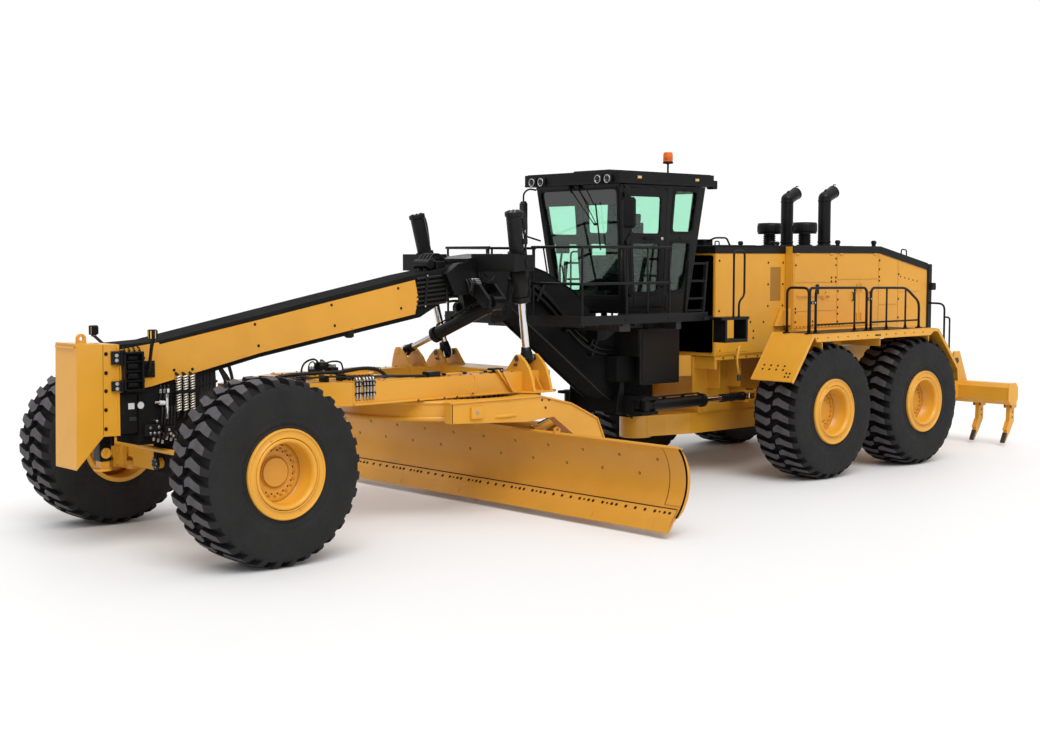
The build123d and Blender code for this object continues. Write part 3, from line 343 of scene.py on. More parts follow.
class Piece:
    def __init__(self, name, body, mats, slot=None, hides=(), at=None):
        self.name, self.body, self.slot, self.hides, self.at = name, body, slot, hides, at
        self.mats = mats if isinstance(mats, (list, tuple)) else [mats]
        self.v, self.f, self.m, self.s = [], [], [], []

    def add(self, verts, faces, mat=0, soft=False):
        k = len(self.v)
        self.v += [tuple(q) for q in verts]
        self.f += [tuple(i + k for i in f) for f in faces]
        self.m += [mat] * len(faces)
        self.s += [soft] * len(faces)
        return self

    def obox(self, c, size, axes=None, ch=3.0, mat=0):
        """block with chamfered edges: centre, full sizes, own axes"""
        ax = [V(a).normalized() for a in axes] if axes else [AX["x"], AX["y"], AX["z"]]
        h = [s / 2 for s in size]
        ch = min(ch, *[q * 0.45 for q in h])
        verts, idx = [], {}
        for i in (-1, 1):
            for j in (-1, 1):
                for k in (-1, 1):
                    for a in range(3):
                        d = [q - (0 if n == a else ch) for n, q in enumerate(h)]
                        idx[(i, j, k, a)] = len(verts)
                        verts.append(V(c) + ax[0] * (i * d[0]) + ax[1] * (j * d[1]) + ax[2] * (k * d[2]))
        faces = []
        for a in range(3):
            b, d = [n for n in range(3) if n != a]
            for s in (-1, 1):
                loop = []
                for p, q in ((-1, -1), (1, -1), (1, 1), (-1, 1)):
                    key = [0, 0, 0]
                    key[a], key[b], key[d] = s, p, q
                    loop.append(idx[(*key, a)])
                faces.append(tuple(loop))
        for a, b in ((0, 1), (0, 2), (1, 2)):
            d = 3 - a - b
            for p in (-1, 1):
                for q in (-1, 1):
                    k1, k2 = [0, 0, 0], [0, 0, 0]
                    k1[a] = k2[a] = p
                    k1[b] = k2[b] = q
                    k1[d], k2[d] = -1, 1
                    faces.append((idx[(*k1, a)], idx[(*k2, a)], idx[(*k2, b)], idx[(*k1, b)]))
        for i in (-1, 1):
            for j in (-1, 1):
                for k in (-1, 1):
                    faces.append((idx[(i, j, k, 0)], idx[(i, j, k, 1)], idx[(i, j, k, 2)]))
        return self.add(verts, faces, mat)

    def box(self, x0, x1, y0, y1, z0, z1, ch=3.0, mat=0):
        return self.obox(((x0 + x1) / 2, (y0 + y1) / 2, (z0 + z1) / 2), (abs(x1 - x0), abs(y1 - y0), abs(z1 - z0)), None, ch, mat)

    def tube(self, pts, r, n=10, mat=0, soft=True, closed=False):
        pts = [V(p) for p in pts]
        t = (pts[1] - pts[0]).normalized()
        a, b, _ = basis(t)
        verts, faces = [], []
        m = len(pts)
        for i, p in enumerate(pts):
            if 0 < i < m - 1:
                nt = ((pts[i + 1] - p).normalized() + (p - pts[i - 1]).normalized())
                nt = nt.normalized() if nt.length > 1e-6 else t
            elif i == m - 1:
                nt = (p - pts[i - 1]).normalized()
            else:
                nt = t
            ax = t.cross(nt)
            if ax.length > 1e-7:
                rot = Matrix.Rotation(t.angle(nt), 3, ax.normalized())
                a, b = rot @ a, rot @ b
            t = nt
            rr = r[i] if isinstance(r, (list, tuple)) else r
            for j in range(n):
                w = 2 * math.pi * j / n
                verts.append(p + a * (rr * math.cos(w)) + b * (rr * math.sin(w)))
        for i in range(m - 1):
            for j in range(n):
                faces.append((i * n + j, i * n + (j + 1) % n, (i + 1) * n + (j + 1) % n, (i + 1) * n + j))
        self.add(verts, faces, mat, soft)
        k = len(self.v) - len(verts)
        self.f += [tuple(k + j for j in range(n))[::-1], tuple(k + (m - 1) * n + j for j in range(n))]
        self.m += [mat, mat]
        self.s += [False, False]
        return self

    def lathe(self, prof, o, axis, n=32, mat=0, soft=True, loop=False):
        """profile of (radius, distance along the axis)"""
        a, b, c = basis(axis)
        o = V(o)
        verts, faces, rings = [], [], []
        for r, t in prof:
            if r < 1e-6:
                rings.append([len(verts)])
                verts.append(o + c * t)
            else:
                rings.append(list(range(len(verts), len(verts) + n)))
                for j in range(n):
                    w = 2 * math.pi * j / n
                    verts.append(o + a * (r * math.cos(w)) + b * (r * math.sin(w)) + c * t)
        pairs = list(zip(rings[:-1], rings[1:])) + ([(rings[-1], rings[0])] if loop else [])
        for p, q in pairs:
            for j in range(n):
                if len(p) == 1 and len(q) == 1:
                    continue
                if len(p) == 1:
                    faces.append((p[0], q[(j + 1) % n], q[j]))
                elif len(q) == 1:
                    faces.append((p[j], p[(j + 1) % n], q[0]))
                else:
                    faces.append((p[j], p[(j + 1) % n], q[(j + 1) % n], q[j]))
        return self.add(verts, faces, mat, soft)

    def cyl(self, p0, p1, r, n=24, ch=2.5, mat=0, r1=None):
        p0, p1 = V(p0), V(p1)
        L = (p1 - p0).length
        r1 = r if r1 is None else r1
        ch = min(ch, L * 0.3, r * 0.4)
        return self.lathe([(0, 0), (r - ch, 0), (r, ch), (r1, L - ch), (r1 - ch, L), (0, L)], p0, p1 - p0, n, mat, False)

    def bolt(self, p, nrm, r=12.0, h=9.0, mat=0, washer=True):
        a, b, c = basis(nrm)
        p = V(p)
        if washer:
            self.lathe([(0, 0), (r * 1.45, 0), (r * 1.45, h * 0.22), (0, h * 0.22)], p - c * 0.5, c, 14, mat, False)
        verts = []
        for t, k in ((0, 1.0), (h * 0.85, 1.0), (h, 0.86)):
            for j in range(6):
                w = 2 * math.pi * j / 6
                verts.append(p + a * (r * k * math.cos(w)) + b * (r * k * math.sin(w)) + c * t)
        faces = [tuple(range(6))[::-1], tuple(range(12, 18))]
        for i in (0, 6):
            faces += [(i + j, i + (j + 1) % 6, i + 6 + (j + 1) % 6, i + 6 + j) for j in range(6)]
        return self.add(verts, faces, mat)

    def sheet(self, outer, holes, put, t0, t1, mat=0):
        """plate with holes: 2-D loops, put(u, v, t) gives the place"""
        loops = [list(outer)] + [list(h) for h in holes]
        flat = [q for loop in loops for q in loop]
        tris = tessellate_polygon([[Vector((q[0], q[1], 0)) for q in loop] for loop in loops])
        n = len(flat)
        verts = [put(q[0], q[1], t0) for q in flat] + [put(q[0], q[1], t1) for q in flat]
        faces = [tuple(t) for t in tris] + [tuple(i + n for i in t)[::-1] for t in tris]
        k = 0
        for loop in loops:
            m = len(loop)
            faces += [(k + j, k + (j + 1) % m, n + k + (j + 1) % m, n + k + j) for j in range(m)]
            k += m
        return self.add(verts, faces, mat)

    def prism(self, outline, plane, t0, t1, mat=0):
        """outline in two axes, along the third: plane 'xz', 'xy' or 'yz'"""
        put = {"xz": lambda u, v, t: V((u, t, v)), "xy": lambda u, v, t: V((u, v, t)), "yz": lambda u, v, t: V((t, u, v))}[plane]
        return self.sheet(outline, [], put, t0, t1, mat)

    def mirror(self):
        """the same again on the right side"""
        k = len(self.v)
        self.v += [(x, -y, z) for x, y, z in self.v]
        self.f += [tuple(i + k for i in f)[::-1] for f in self.f]
        self.m += list(self.m)
        self.s += list(self.s)
        return self

    def done(self):
        me = bpy.data.meshes.new(self.name)
        at = self.at
        if at is None:
            me.from_pydata([P(*q) for q in self.v], [], self.f)
        else:
            me.from_pydata([Vector(q) / 1000.0 for q in self.v], [], self.f)
        for m in self.mats:
            me.materials.append(m)
        me.polygons.foreach_set("material_index", self.m)
        me.polygons.foreach_set("use_smooth", self.s)
        bm = bmesh.new()
        bm.from_mesh(me)
        bmesh.ops.recalc_face_normals(bm, faces=bm.faces)
        bm.to_mesh(me)
        bm.free()
        me.update()
        o = bpy.data.objects.new(self.name, me)
        bpy.context.scene.collection.objects.link(o)
        if at is not None:
            o.location = P(*at)
        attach(o, self.body)
        if self.hides:
            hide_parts(*self.hides)
        return o


# ---------------------------------------------------------------- finish of the parts of the frame
YELLOW_NODES = ["beam_side_covers", "push_block", "front_axle", "lean_yoke_left", "lean_yoke_right", "knuckle_left", "knuckle_right",
                "lean_bar", "drawbar", "circle", "blade_carrier", "blade", "rear_frame", "hood", "fenders", "tandem_cases",
                "ripper", "ripper_barrels", "tip_barrels"]
ROD_NODES = ["lift_rod_left", "lift_rod_right", "shift_rod", "articulation_rod_left", "articulation_rod_right", "ripper_rods", "tip_rods"]
for name, o in NODES.items():
    if name in YELLOW_NODES or name.startswith("rim_"):
        # the blade takes the darker yellow copy: painted shade
        m, s = (YELLOW_BLADE_SHADE if name == "blade" else YELLOW), "yellow_paint"
    elif name in ROD_NODES:
        m, s = CHROME, "chrome_rod"
    elif name == "cab_glass":
        m, s = GLASS, "cab_glass"
    elif name == "engine_block":
        m, s = IRON, "engine_iron"
    elif name == "platforms":
        m, s = PLATE, "black_paint"
    elif name == "main_beam":
        m, s = BEAM_BLACK, "black_paint"
    elif name.startswith("tyre_"):
        m, s = RUBBER, "tyre_rubber"
    else:
        m, s = BLACK, "black_paint"
    o.data.materials.clear()
    o.data.materials.append(m)

# ---------------------------------------------------------------- wheels
TYRE_R, TRACK_Y = 973.0, 1755.0
CARCASS = [(441, 340), (452, 351), (470, 359), (488, 360), (494, 354), (504, 354), (510, 361), (560, 369), (568, 365), (576, 370),
           (640, 377), (720, 381.5), (790, 381), (845, 376), (878, 368), (896, 354)]
GROUND = [(896, 354), (906, 334), (910, 300), (912, 180), (912, 0)]
LUGS = 32
# distance from the middle, middle of the bar along the tread, half its length, radius of its face and of its foot
BAR = [(16, 35, 33, 972.0, 900), (56, 15, 45, 973.0, 900), (100, 5, 54, 973.0, 900), (176, 36, 50, 971.0, 900), (240, 57, 46, 968.0, 900),
       (292, 74, 42, 962.0, 896), (318, 82, 41, 950.0, 890), (344, 90, 40, 926.0, 876), (366, 97, 37, 890.0, 860)]


def tyre(tag, x, side):
    p = Piece("tyre_tread_" + tag, "wheel_" + tag, [RUBBER, TREAD_HIGHLIGHT, GROOVE_SHADE], "tyre_rubber", ("tyre_" + tag,), at=(x, side * TRACK_Y, TYRE_R))
    p.lathe(CARCASS, (0, 0, 0), (0, 1, 0), 128, 0, True)
    p.lathe([(r, -q) for r, q in CARCASS], (0, 0, 0), (0, 1, 0), 128, 0, True)
    # the groove floor between the lugs takes the darker groove rubber: painted shade
    p.lathe(GROUND + [(r, -q) for r, q in GROUND[-2::-1]], (0, 0, 0), (0, 1, 0), 128, 2, True)

    def place(v, u, r):
        a = u / TYRE_R
        return Vector((r * math.sin(a), v, r * math.cos(a)))
    pitch = 2 * math.pi * TYRE_R / LUGS
    m = len(BAR)
    for half in (1, -1):
        for i in range(LUGS):
            u0 = i * pitch - (69 if half < 0 else 0)
            verts = []
            for v, uc, hl, rt, rb in BAR:
                for sgn in (-1, 1):
                    verts.append(place(half * v, u0 + half * (uc + sgn * (hl + 8)), rb))
                    verts.append(place(half * v, u0 + half * (uc + sgn * hl), rt - 4))
                    verts.append(place(half * v, u0 + half * (uc + sgn * (hl - 4)), rt))
            k0 = len(p.v)
            p.v += verts

            def face(f, mat):
                p.f.append(tuple(j + k0 for j in f)); p.m.append(mat); p.s.append(False)
            for k in range(m - 1):
                a, b = 6 * k, 6 * (k + 1)
                # the middle bars' tops take the lighter tread rubber (painted highlight); their flanks and ends take
                # the darker groove rubber (painted shade)
                crown = 1 if k < 5 else 0
                face((a + 2, a + 5, b + 5, b + 2), crown)
                for o in (0, 3):
                    face((a + o + 1, a + o + 2, b + o + 2, b + o + 1), crown)
                    face((a + o, a + o + 1, b + o + 1, b + o), 2)
                face((a + 3, a, b, b + 3), 2)
            e = 6 * (m - 1)
            face((0, 1, 2, 5, 4, 3), 2)
            face((e, e + 3, e + 4, e + 5, e + 2, e + 1), 0)
    p.done()


RIM_RINGS = [(466, 338), (468, 376), (464, 386), (457, 391), (449, 390), (444, 384), (443, 377), (441, 375), (388, 374), (386, 379), (382, 383),
             (376, 383), (373, 379), (372, 366), (366, 366), (365, 378), (360, 385), (350, 388), (340, 386), (330, 378), (321, 364),
             (314, 346), (311, 328), (311, 134), (300, 134)]


def rim(tag, x, side):
    p = Piece("rim_detail_" + tag, "wheel_" + tag, [YELLOW, RECESS_SHADE, YELLOW_MATT_SHADE], "yellow_paint", at=(x, side * TRACK_Y, TYRE_R))
    n = (0, side, 0)
    p.lathe(RIM_RINGS, (0, 0, 0), n, 96, 0, True)
    # dark rings at the lock ring's groove and at the foot of the barrel: painted shade in the grooves
    p.lathe([(372.5, 367), (365.5, 367)], (0, 0, 0), n, 96, 1, True)
    p.lathe([(311, 137), (303, 136)], (0, 0, 0), n, 96, 1, True)
    # deep dish in the darker yellow copy (painted shade): disc with studs and holes in turn, the holes as dark discs
    # (painted shade), flat hub cap
    p.lathe([(311, 134), (304, 140), (268, 141), (260, 137), (0, 137)], (0, 0, 0), n, 96, 2, True)
    for i in range(20):
        a = 2 * math.pi * i / 20
        c = Vector((math.cos(a) * 238, side * 137, math.sin(a) * 238))
        p.lathe([(0, 0), (21, 0), (21, 6), (17, 9), (0, 9)], c, n, 14, 2, False)
        p.bolt(c + Vector(n) * 8, n, 13, 15, 2, False)
        a += math.pi / 20
        p.lathe([(0, 0), (9.5, 0), (9.5, 1.5), (0, 1.5)], Vector((math.cos(a) * 226, side * 137, math.sin(a) * 226)), n, 12, 1, False)
    p.lathe([(166, 136), (164, 150), (158, 154), (157, 156), (152, 158), (148, 166), (0, 168)], (0, 0, 0), n, 64, 2, False)
    # dark ring round the hub cap: painted shade in its groove
    p.lathe([(156, 160), (153, 160)], (0, 0, 0), n, 64, 1, True)
    # valve and the lock ring's stop on the face
    for a in (2.05, 5.1):
        p.bolt((math.cos(a) * 402 * -side, side * 374, math.sin(a) * 402), n, 11, 9, 2, True)
    p.tube([(0, side * 250, 308), (0, side * 250, 296), (0, side * 300, 288)], 6, 8, 1)
    # brake plate on the inner side
    p.lathe([(355, -140), (355, -100), (230, -96), (230, -140)], (0, 0, 0), n, 48, 2, False, True)
    p.done()


WHEELS = [("front_left", 0.0, 1), ("front_right", 0.0, -1), ("middle_left", -9264.0, 1), ("middle_right", -9264.0, -1),
          ("rear_left", -11561.0, 1), ("rear_right", -11561.0, -1)]
for tag, x, side in WHEELS:
    tyre(tag, x, side)
    rim(tag, x, side)

# ---------------------------------------------------------------- front: push block, lamps, beam
p = Piece("push_block_trim", "front_frame", [YELLOW, RECESS_SHADE, BLACK, DARKSTEEL], "yellow_paint")
for z, x in ((2149, 1001), (1948, 1005), (1757, 1009), (1556, 1014), (1354, 1018)):
    p.bolt((x, 245, z), (0, 1, 0), 15, 12, 1)
# thin dark strip on the block's side: painted shade in the seam
p.prism([(1032, 2245), (1036, 2245), (1050, 1285), (1046, 1285)], "xz", 244, 246.5, 1)
p.prism([(855, 2238), (880, 2238), (884, 1275), (858, 1272)], "xz", 245, 258, 0)
p.mirror()
p.prism([(-215, 2215), (215, 2215), (215, 2240), (-215, 2240)], "yz", 1345, 1352, 0)
p.box(872, 1008, -78, 78, 985, 1285, 10, 2)
p.box(855, 905, -120, 120, 1150, 1285, 10, 2)
for s in (1, -1):
    p.lathe([(0, 0), (58, 0), (58, 14), (48, 20), (20, 20), (14, 12), (0, 12)], (940, s * 78, 1075), (0, s, 0), 32, 0, False)
p.done()

p = Piece("headlamps", "front_frame", [BLACK, STEEL, AMBER, STEEL, BLACK_M], "black_paint")


def lamp(side, turn):
    """square work lamp on a flat strap; its lens is turned by the angle from straight ahead"""
    c = Vector((680, side * 665, 2360))
    n = Vector((math.cos(turn), math.sin(turn) * side, 0.0))
    t = Vector((-n.y, n.x, 0.0))
    ax = [tuple(n), tuple(t), (0, 0, 1)]
    p.obox(c, (66, 88, 106), ax, 10, 0)
    p.obox(c + n * 32, (8, 84, 102), ax, 4, 4)
    p.obox(c + n * 36, (6, 56, 82), ax, 3, 2)
    for k in range(5):
        p.obox(c - n * 36 + t * (k - 2) * 15, (12, 4, 84), ax, 1, 0)
    p.obox(c - Vector((0, 0, 62)), (40, 46, 20), ax, 3, 0)
    p.bolt(c - Vector((0, 0, 62)) + t * 23, t, 10, 8, 3)


lamp(1, math.radians(68))
lamp(-1, math.radians(8))
p.tube(bent([(543, 296, 1920), (546, 330, 1985), (620, 520, 2190), (680, 665, 2300)], 60), 18, 10)
p.tube(bent([(560, 292, 1990), (575, 380, 2060), (650, 560, 2240), (694, 655, 2300)], 60), 7, 8)
p.box(452, 618, 271, 286, 1878, 2058, 5)
p.box(520, 568, 284, 306, 1896, 1960, 4)
for x in (478, 592):
    for z in (1904, 2032):
        p.bolt((x, 286, z), (0, 1, 0), 9, 7, 0)
p.mirror()
p.done()

p = Piece("cover_front", "front_frame", [YELLOW, RECESS_SHADE, BLACK, BLACK_M, STEEL], "yellow_paint")
# the side cover's front panel, up to the push block
p.prism([(513, 1776), (851, 1734), (851, 2190), (392, 2250), (382, 2226)], "xz", 248, 271, 0)
for x, z in ((578, 2089), (583, 1847)):
    p.bolt((x, 271, z), (0, 1, 0), 12, 9, 1)
# open black box standing on the panel, with its four walls, ribs and clamps
p.box(612, 842, 271, 277, 1742, 2166, 4, 3)
for x0, x1, z0, z1 in ((612, 632, 1742, 2166), (822, 842, 1742, 2166), (612, 842, 1742, 1764), (612, 842, 2144, 2166)):
    p.box(x0, x1, 275, 352, z0, z1, 4, 2)
for z in (1850, 1955, 2060):
    p.box(630, 824, 275, 318, z - 7, z + 7, 2, 3)
for k, z in enumerate((1806, 1902, 2008, 2104)):
    p.box(668, 786, 277, 322, z - 26, z + 26, 8, 3)
    p.cyl((700, 320, z), (700, 334, z), 15, 14, 3, 2)
    p.cyl((754, 320, z), (754, 334, z), 15, 14, 3, 2)
for z0, z1 in ((2024, 2186), (1742, 1866)):
    p.box(838, 866, 271, 330, z0, z1, 6, 2)
    p.obox((902, 268, (z0 + z1) / 2), (100, 40, z1 - z0 - 20), [(0.96, -0.28, 0), (0.28, 0.96, 0), (0, 0, 1)], 6, 2)
    for dz in (-26, 26):
        p.bolt((900, 288, (z0 + z1) / 2 + dz), (0.28, 0.96, 0), 13, 10, 4)
for x in (640, 700, 760, 815):
    p.cyl((x, 300, 2160), (x, 300, 2184), 13, 10, 3, 2)
    p.tube(smooth([(x, 300, 2182), (x + 4, 296, 2204), (x + 10, 262, 2216), (x + 12, 240, 2218)]), 7, 8, 3)
p.mirror()
p.done()

p = Piece("beam_front_fittings", "front_frame", [BLACK, BLACK_M, STEEL, HOSE, WHITE, BRASS, GREY, YELLOW], "black_paint")
# housing in front of the beam's lower part
p.box(638, 850, -248, 248, 1262, 1732, 10, 1)
p.box(655, 842, 246, 258, 1285, 1715, 5, 1)
for x in (672, 826):
    for z in (1302, 1500, 1698):
        p.bolt((x, 258, z), (0, 1, 0), 9, 7, 0)
p.box(690, 762, 256, 260, 1547, 1612, 2, 4)
p.lathe([(0, 0), (38, 0), (38, 4), (0, 4)], (618, 262, 1583), (0, 1, 0), 28, 4, False)
p.box(672, 752, 256, 268, 1420, 1462, 3, 6)
# service plate and blocks low on the beam
p.box(180, 636, 249, 262, 1190, 1700, 4, 1)
p.box(420, 600, 260, 330, 1250, 1370, 8, 1)
p.box(240, 360, 260, 320, 1200, 1340, 8, 1)
for x, z in ((215, 1230), (595, 1230), (215, 1660), (405, 1660), (405, 1230)):
    p.bolt((x, 262, z), (0, 1, 0), 10, 8, 0)
for x, z in ((450, 1280), (500, 1280), (550, 1280), (450, 1340), (550, 1340)):
    p.cyl((x, 328, z), (x, 356, z), 14, 10, 3, 2)
for x, z in ((270, 1230), (320, 1300), (464, 1405), (300, 1255)):
    p.cyl((x, 262, z), (x, 344, z), 14, 10, 3, 5)
# tap with its two parts, and the pale upright line beside it
p.cyl((470, 300, 1606), (415, 300, 1600), 15, 12, 3, 5)
p.cyl((415, 300, 1600), (350, 300, 1592), 25, 14, 4, 4)
p.cyl((442, 262, 1603), (442, 306, 1603), 20, 12, 3, 1)
p.cyl((322, 296, 1476), (320, 296, 1652), 14, 12, 3, 4)
p.cyl((322, 296, 1420), (322, 296, 1476), 20, 12, 3, 2)
p.cyl((320, 296, 1652), (320, 296, 1690), 18, 12, 3, 2)
for k in range(3):
    x = 392 - 46 * k
    p.cyl((x, 286, 1700), (x - 3, 286, 1745), 14, 10, 3, (5, 2, 4)[k])
    p.tube(smooth([(x, 286, 1702), (x, 290, 1670), (x + 6, 276, 1630), (x + 10, 256, 1600)]), 11, 8, 3)
    p.tube(smooth([(x - 3, 286, 1740), (x - 6, 280, 1775), (x - 14, 250, 1800)]), 11, 8, 3)
# cluster of lines at the bottom of the plate
for k in range(6):
    x = 238 + 52 * k
    p.cyl((x, 318, 1196 + 18 * (k % 3)), (x + 8, 322, 1158 + 18 * (k % 3)), 13, 10, 3, (5, 2, 5)[k % 3])
    p.tube(smooth([(x, 316, 1210 + 18 * (k % 3)), (x - 12, 330, 1240 + 14 * (k % 2)), (x - 4, 300, 1275), (x + 12, 262, 1300)]), 10, 8, 3)
for k in range(5):
    x = 225 + 38 * k
    p.tube(smooth([(x, 262, 1560), (x, 296, 1535), (x + 8, 306, 1470), (x + 16, 300, 1380), (x + 14, 280, 1330)]), 12, 8, 3)
p.mirror()
# wrapped hoses standing behind the plate
for k in range(3):
    x = 30 + 84 * k
    path = [V((x, 322, 1500)), V((x, 330, 1600)), V((x, 330, 1800)), V((x, 318, 1890))]
    p.tube(smooth(path, 5), 20, 10, 3)
    for j in range(14):
        z = 1512 + j * 28.0
        if j == 7:
            continue
        p.lathe([(22, -9), (37, -6), (37, 6), (22, 9)], (x, 329, z), (0.34, 0, 1), 14, 5, True)
    p.tube(smooth([(x, 322, 1500), (x, 300, 1440), (x + 10, 258, 1410)], 5), 16, 8, 3)
    p.tube(smooth([(x, 318, 1890), (x, 284, 1905), (x, 240, 1908)], 5), 16, 8, 3)
p.box(-14, 244, 290, 372, 1694, 1720, 4, 1)
# thick bundle of hoses below the cover
for k in range(7):
    x = -62 - 42 * k
    p.tube(smooth([(x, 190 + 6 * (k % 2), 1975 + 8 * k), (x - 2, 206 + 8 * (k % 2), 1880), (x + 4, 214, 1700), (x + 24 + 10 * k, 206, 1600), (x + 30 + 24 * k, 196, 1520)], 6), 21, 10, 3)
p.box(-560, -40, 120, 246, 1985, 2036, 5, 0)
p.obox((-200, 205, 1770), (300, 66, 26), [(0.99, 0, -0.12), (0, 1, 0), (0.12, 0, 0.99)], 4, 1)
for x0, x1, x2 in ((-372, -455, -505), (-388, -505, -560), (-500, -545, -590)):
    p.tube(smooth([(x0, 190, 2000), (x0 - 14, 214, 1930), (x1, 220, 1775), (x1 + 50, 214, 1690), (x1 + 170, 196, 1610), (x1 + 240, 180, 1560)], 6), 20, 10, 3)
for k in range(3):
    p.tube(smooth([(60 + 60 * k, 200, 1480), (30 + 60 * k, 230, 1330), (-20, 240, 1180), (-120, 220 - 20 * k, 1080)], 6), 15, 8, 3)
p.done()

p = Piece("cover_trim", "front_frame", [YELLOW, RECESS_SHADE, BLACK], "yellow_paint")
for x, z in ((-819, 2410), (-864, 2165), (-1876, 2606), (-1920, 2361), (-2867, 2789), (-2912, 2544)):
    p.bolt((x, 272, z), (0, 1, 0), 12, 9, 1)
# proud front panel with its fold
p.add([(330, 271.6, 2231), (362, 271.6, 1814), (-512, 303, 2378), (-560, 303, 2018), (-722, 271.6, 2412), (-768, 271.6, 2068),
       (330, 262, 2231), (362, 262, 1814), (-722, 262, 2412), (-768, 262, 2068)],
      [(0, 1, 3, 2), (2, 3, 5, 4), (6, 0, 2, 4, 8), (7, 9, 5, 3, 1), (6, 8, 9, 7), (0, 6, 7, 1), (4, 5, 9, 8)], 0)
for x, z, y in ((217, 1942, 276), (-4, 1942, 284)):
    p.bolt((x, y, z), (0, 1, 0), 12, 9, 1)
# edge flange along the bottom
p.prism([(513, 1776), (-876, 2082), (-876, 2096), (513, 1792)], "xz", 268, 280)
p.prism([(-876, 2082), (-3128, 2468), (-3128, 2481), (-876, 2096)], "xz", 268, 280)
p.cyl((-2168, 215, 2215), (-2168, 215, 2330), 58, 24, 6, 2)
p.cyl((-2168, 215, 2205), (-2168, 215, 2222), 40, 20, 4, 2)
p.mirror()
p.done()

# ---------------------------------------------------------------- saddle and the lines along the beam
p = Piece("beam_lines", "front_frame", [HOSE, BLACK, STEEL], "black_paint")
for k in range(7):
    z = 2575 + 56 * k
    y = 266
    p.tube(bent([(-3120 - 10 * k, 246, z - 20), (-3175, y, z - 8), (-3500, y, z + 22), (-3760, y, z + 44), (-3840, 246, z + 40)], 40, 4), 17, 8)
for x, z in ((-3300, 2750), (-3640, 2790)):
    p.obox((x, 282, z), (36, 14, 400), [(0.99, 0, 0.1), (0, 1, 0), (-0.1, 0, 0.99)], 3, 1)
    for dz in (-190, 190):
        p.bolt((x - 0.1 * dz, 289, z + dz), (0, 1, 0), 8, 6, 2)
p.mirror()
p.done()

p = Piece("saddle_fittings", "front_frame", [BLACK, BLACK_M, STEEL, WHITE, HOSE], "black_paint")
# locking hub with its ring of holes
p.lathe([(0, 0), (168, 0), (168, 22), (158, 30), (120, 30), (112, 22), (70, 22), (64, 34), (0, 34)], (-4235, 358, 2985), (0, 1, 0), 48, 0, False)
for i in range(10):
    a = 2 * math.pi * i / 10
    p.cyl((-4235 + 140 * math.cos(a), 386, 2985 + 140 * math.sin(a)), (-4235 + 140 * math.cos(a), 393, 2985 + 140 * math.sin(a)), 13, 12, 1, 1)
p.lathe([(0, 0), (78, 0), (78, 40), (70, 48), (28, 48), (22, 40), (0, 40)], (-4520, 358, 3085), (0, 1, 0), 36, 0, False)
p.lathe([(0, 0), (82, 0), (82, 70), (74, 78), (0, 78)], (-4395, 358, 2500), (0, 1, 0), 36, 0, False)
for x, z in ((-3720, 3040), (-3800, 2760), (-4580, 2560), (-4460, 2420), (-3900, 3110), (-4640, 2950)):
    p.bolt((x, 360, z), (0, 1, 0), 14, 11, 0)
# bare plate with fins
p.box(-4130, -3960, 358, 372, 2740, 2900, 3, 3)
for k in range(7):
    p.box(-4120, -3970, 371, 376, 2752 + 21 * k, 2762 + 21 * k, 1, 1)
for k in range(4):
    y = 374 + 20 * (k % 2)
    p.tube(smooth([(-3880 - 40 * k, 352, 2900), (-3890 - 40 * k, y + 20, 2830), (-3930 - 30 * k, y, 2740), (-3990 - 30 * k, 372, 2690), (-4080 - 20 * k, 352, 2660)], 6), 13, 8, 4)
p.tube(smooth([(-4600, 352, 2900), (-4640, 390, 2860), (-4620, 400, 2700), (-4560, 380, 2560), (-4500, 352, 2480)], 6), 15, 8, 4)
p.tube(smooth([(-4300, 352, 3120), (-4280, 420, 3170), (-4180, 440, 3180), (-4110, 400, 3150), (-4060, 360, 3080)], 6), 15, 8, 4)
# arm plates of the cylinder's trunnion
for y in (704, 1114):
    for dx in (-4215, -4320):
        p.bolt((dx, y - 3 if y < 800 else y, 3040), (0, -1 if y < 800 else 1, 0), 13, 10, 0)
p.cyl((-4267, 1112, 3100), (-4267, 1128, 3100), 66, 28, 4, 0)
p.cyl((-4267, 690, 3100), (-4267, 705, 3100), 66, 28, 4, 0)
p.mirror()
# valve and filter ahead of the saddle on top of the beam
p.box(-3700, -3560, -170, 170, 2985, 3120, 8, 0)
p.cyl((-3480, -150, 3080), (-3480, 150, 3080), 62, 24, 6, 0)
p.cyl((-3480, 60, 2960), (-3480, 60, 3080), 40, 16, 4, 0)
p.cyl((-3480, -60, 2960), (-3480, -60, 3080), 40, 16, 4, 0)
for k in range(4):
    y = -120 + 70 * k
    p.tube(smooth([(-3500, y, 3130), (-3560, y, 3200), (-3680, y * 0.8, 3205), (-3760, y * 0.7, 3150), (-3840, y * 0.7, 3100)], 6), 12, 8, 4)
p.done()


def along(a, b, t, up=None, off=0.0):
    a, b = V(a), V(b)
    return a + (b - a).normalized() * t


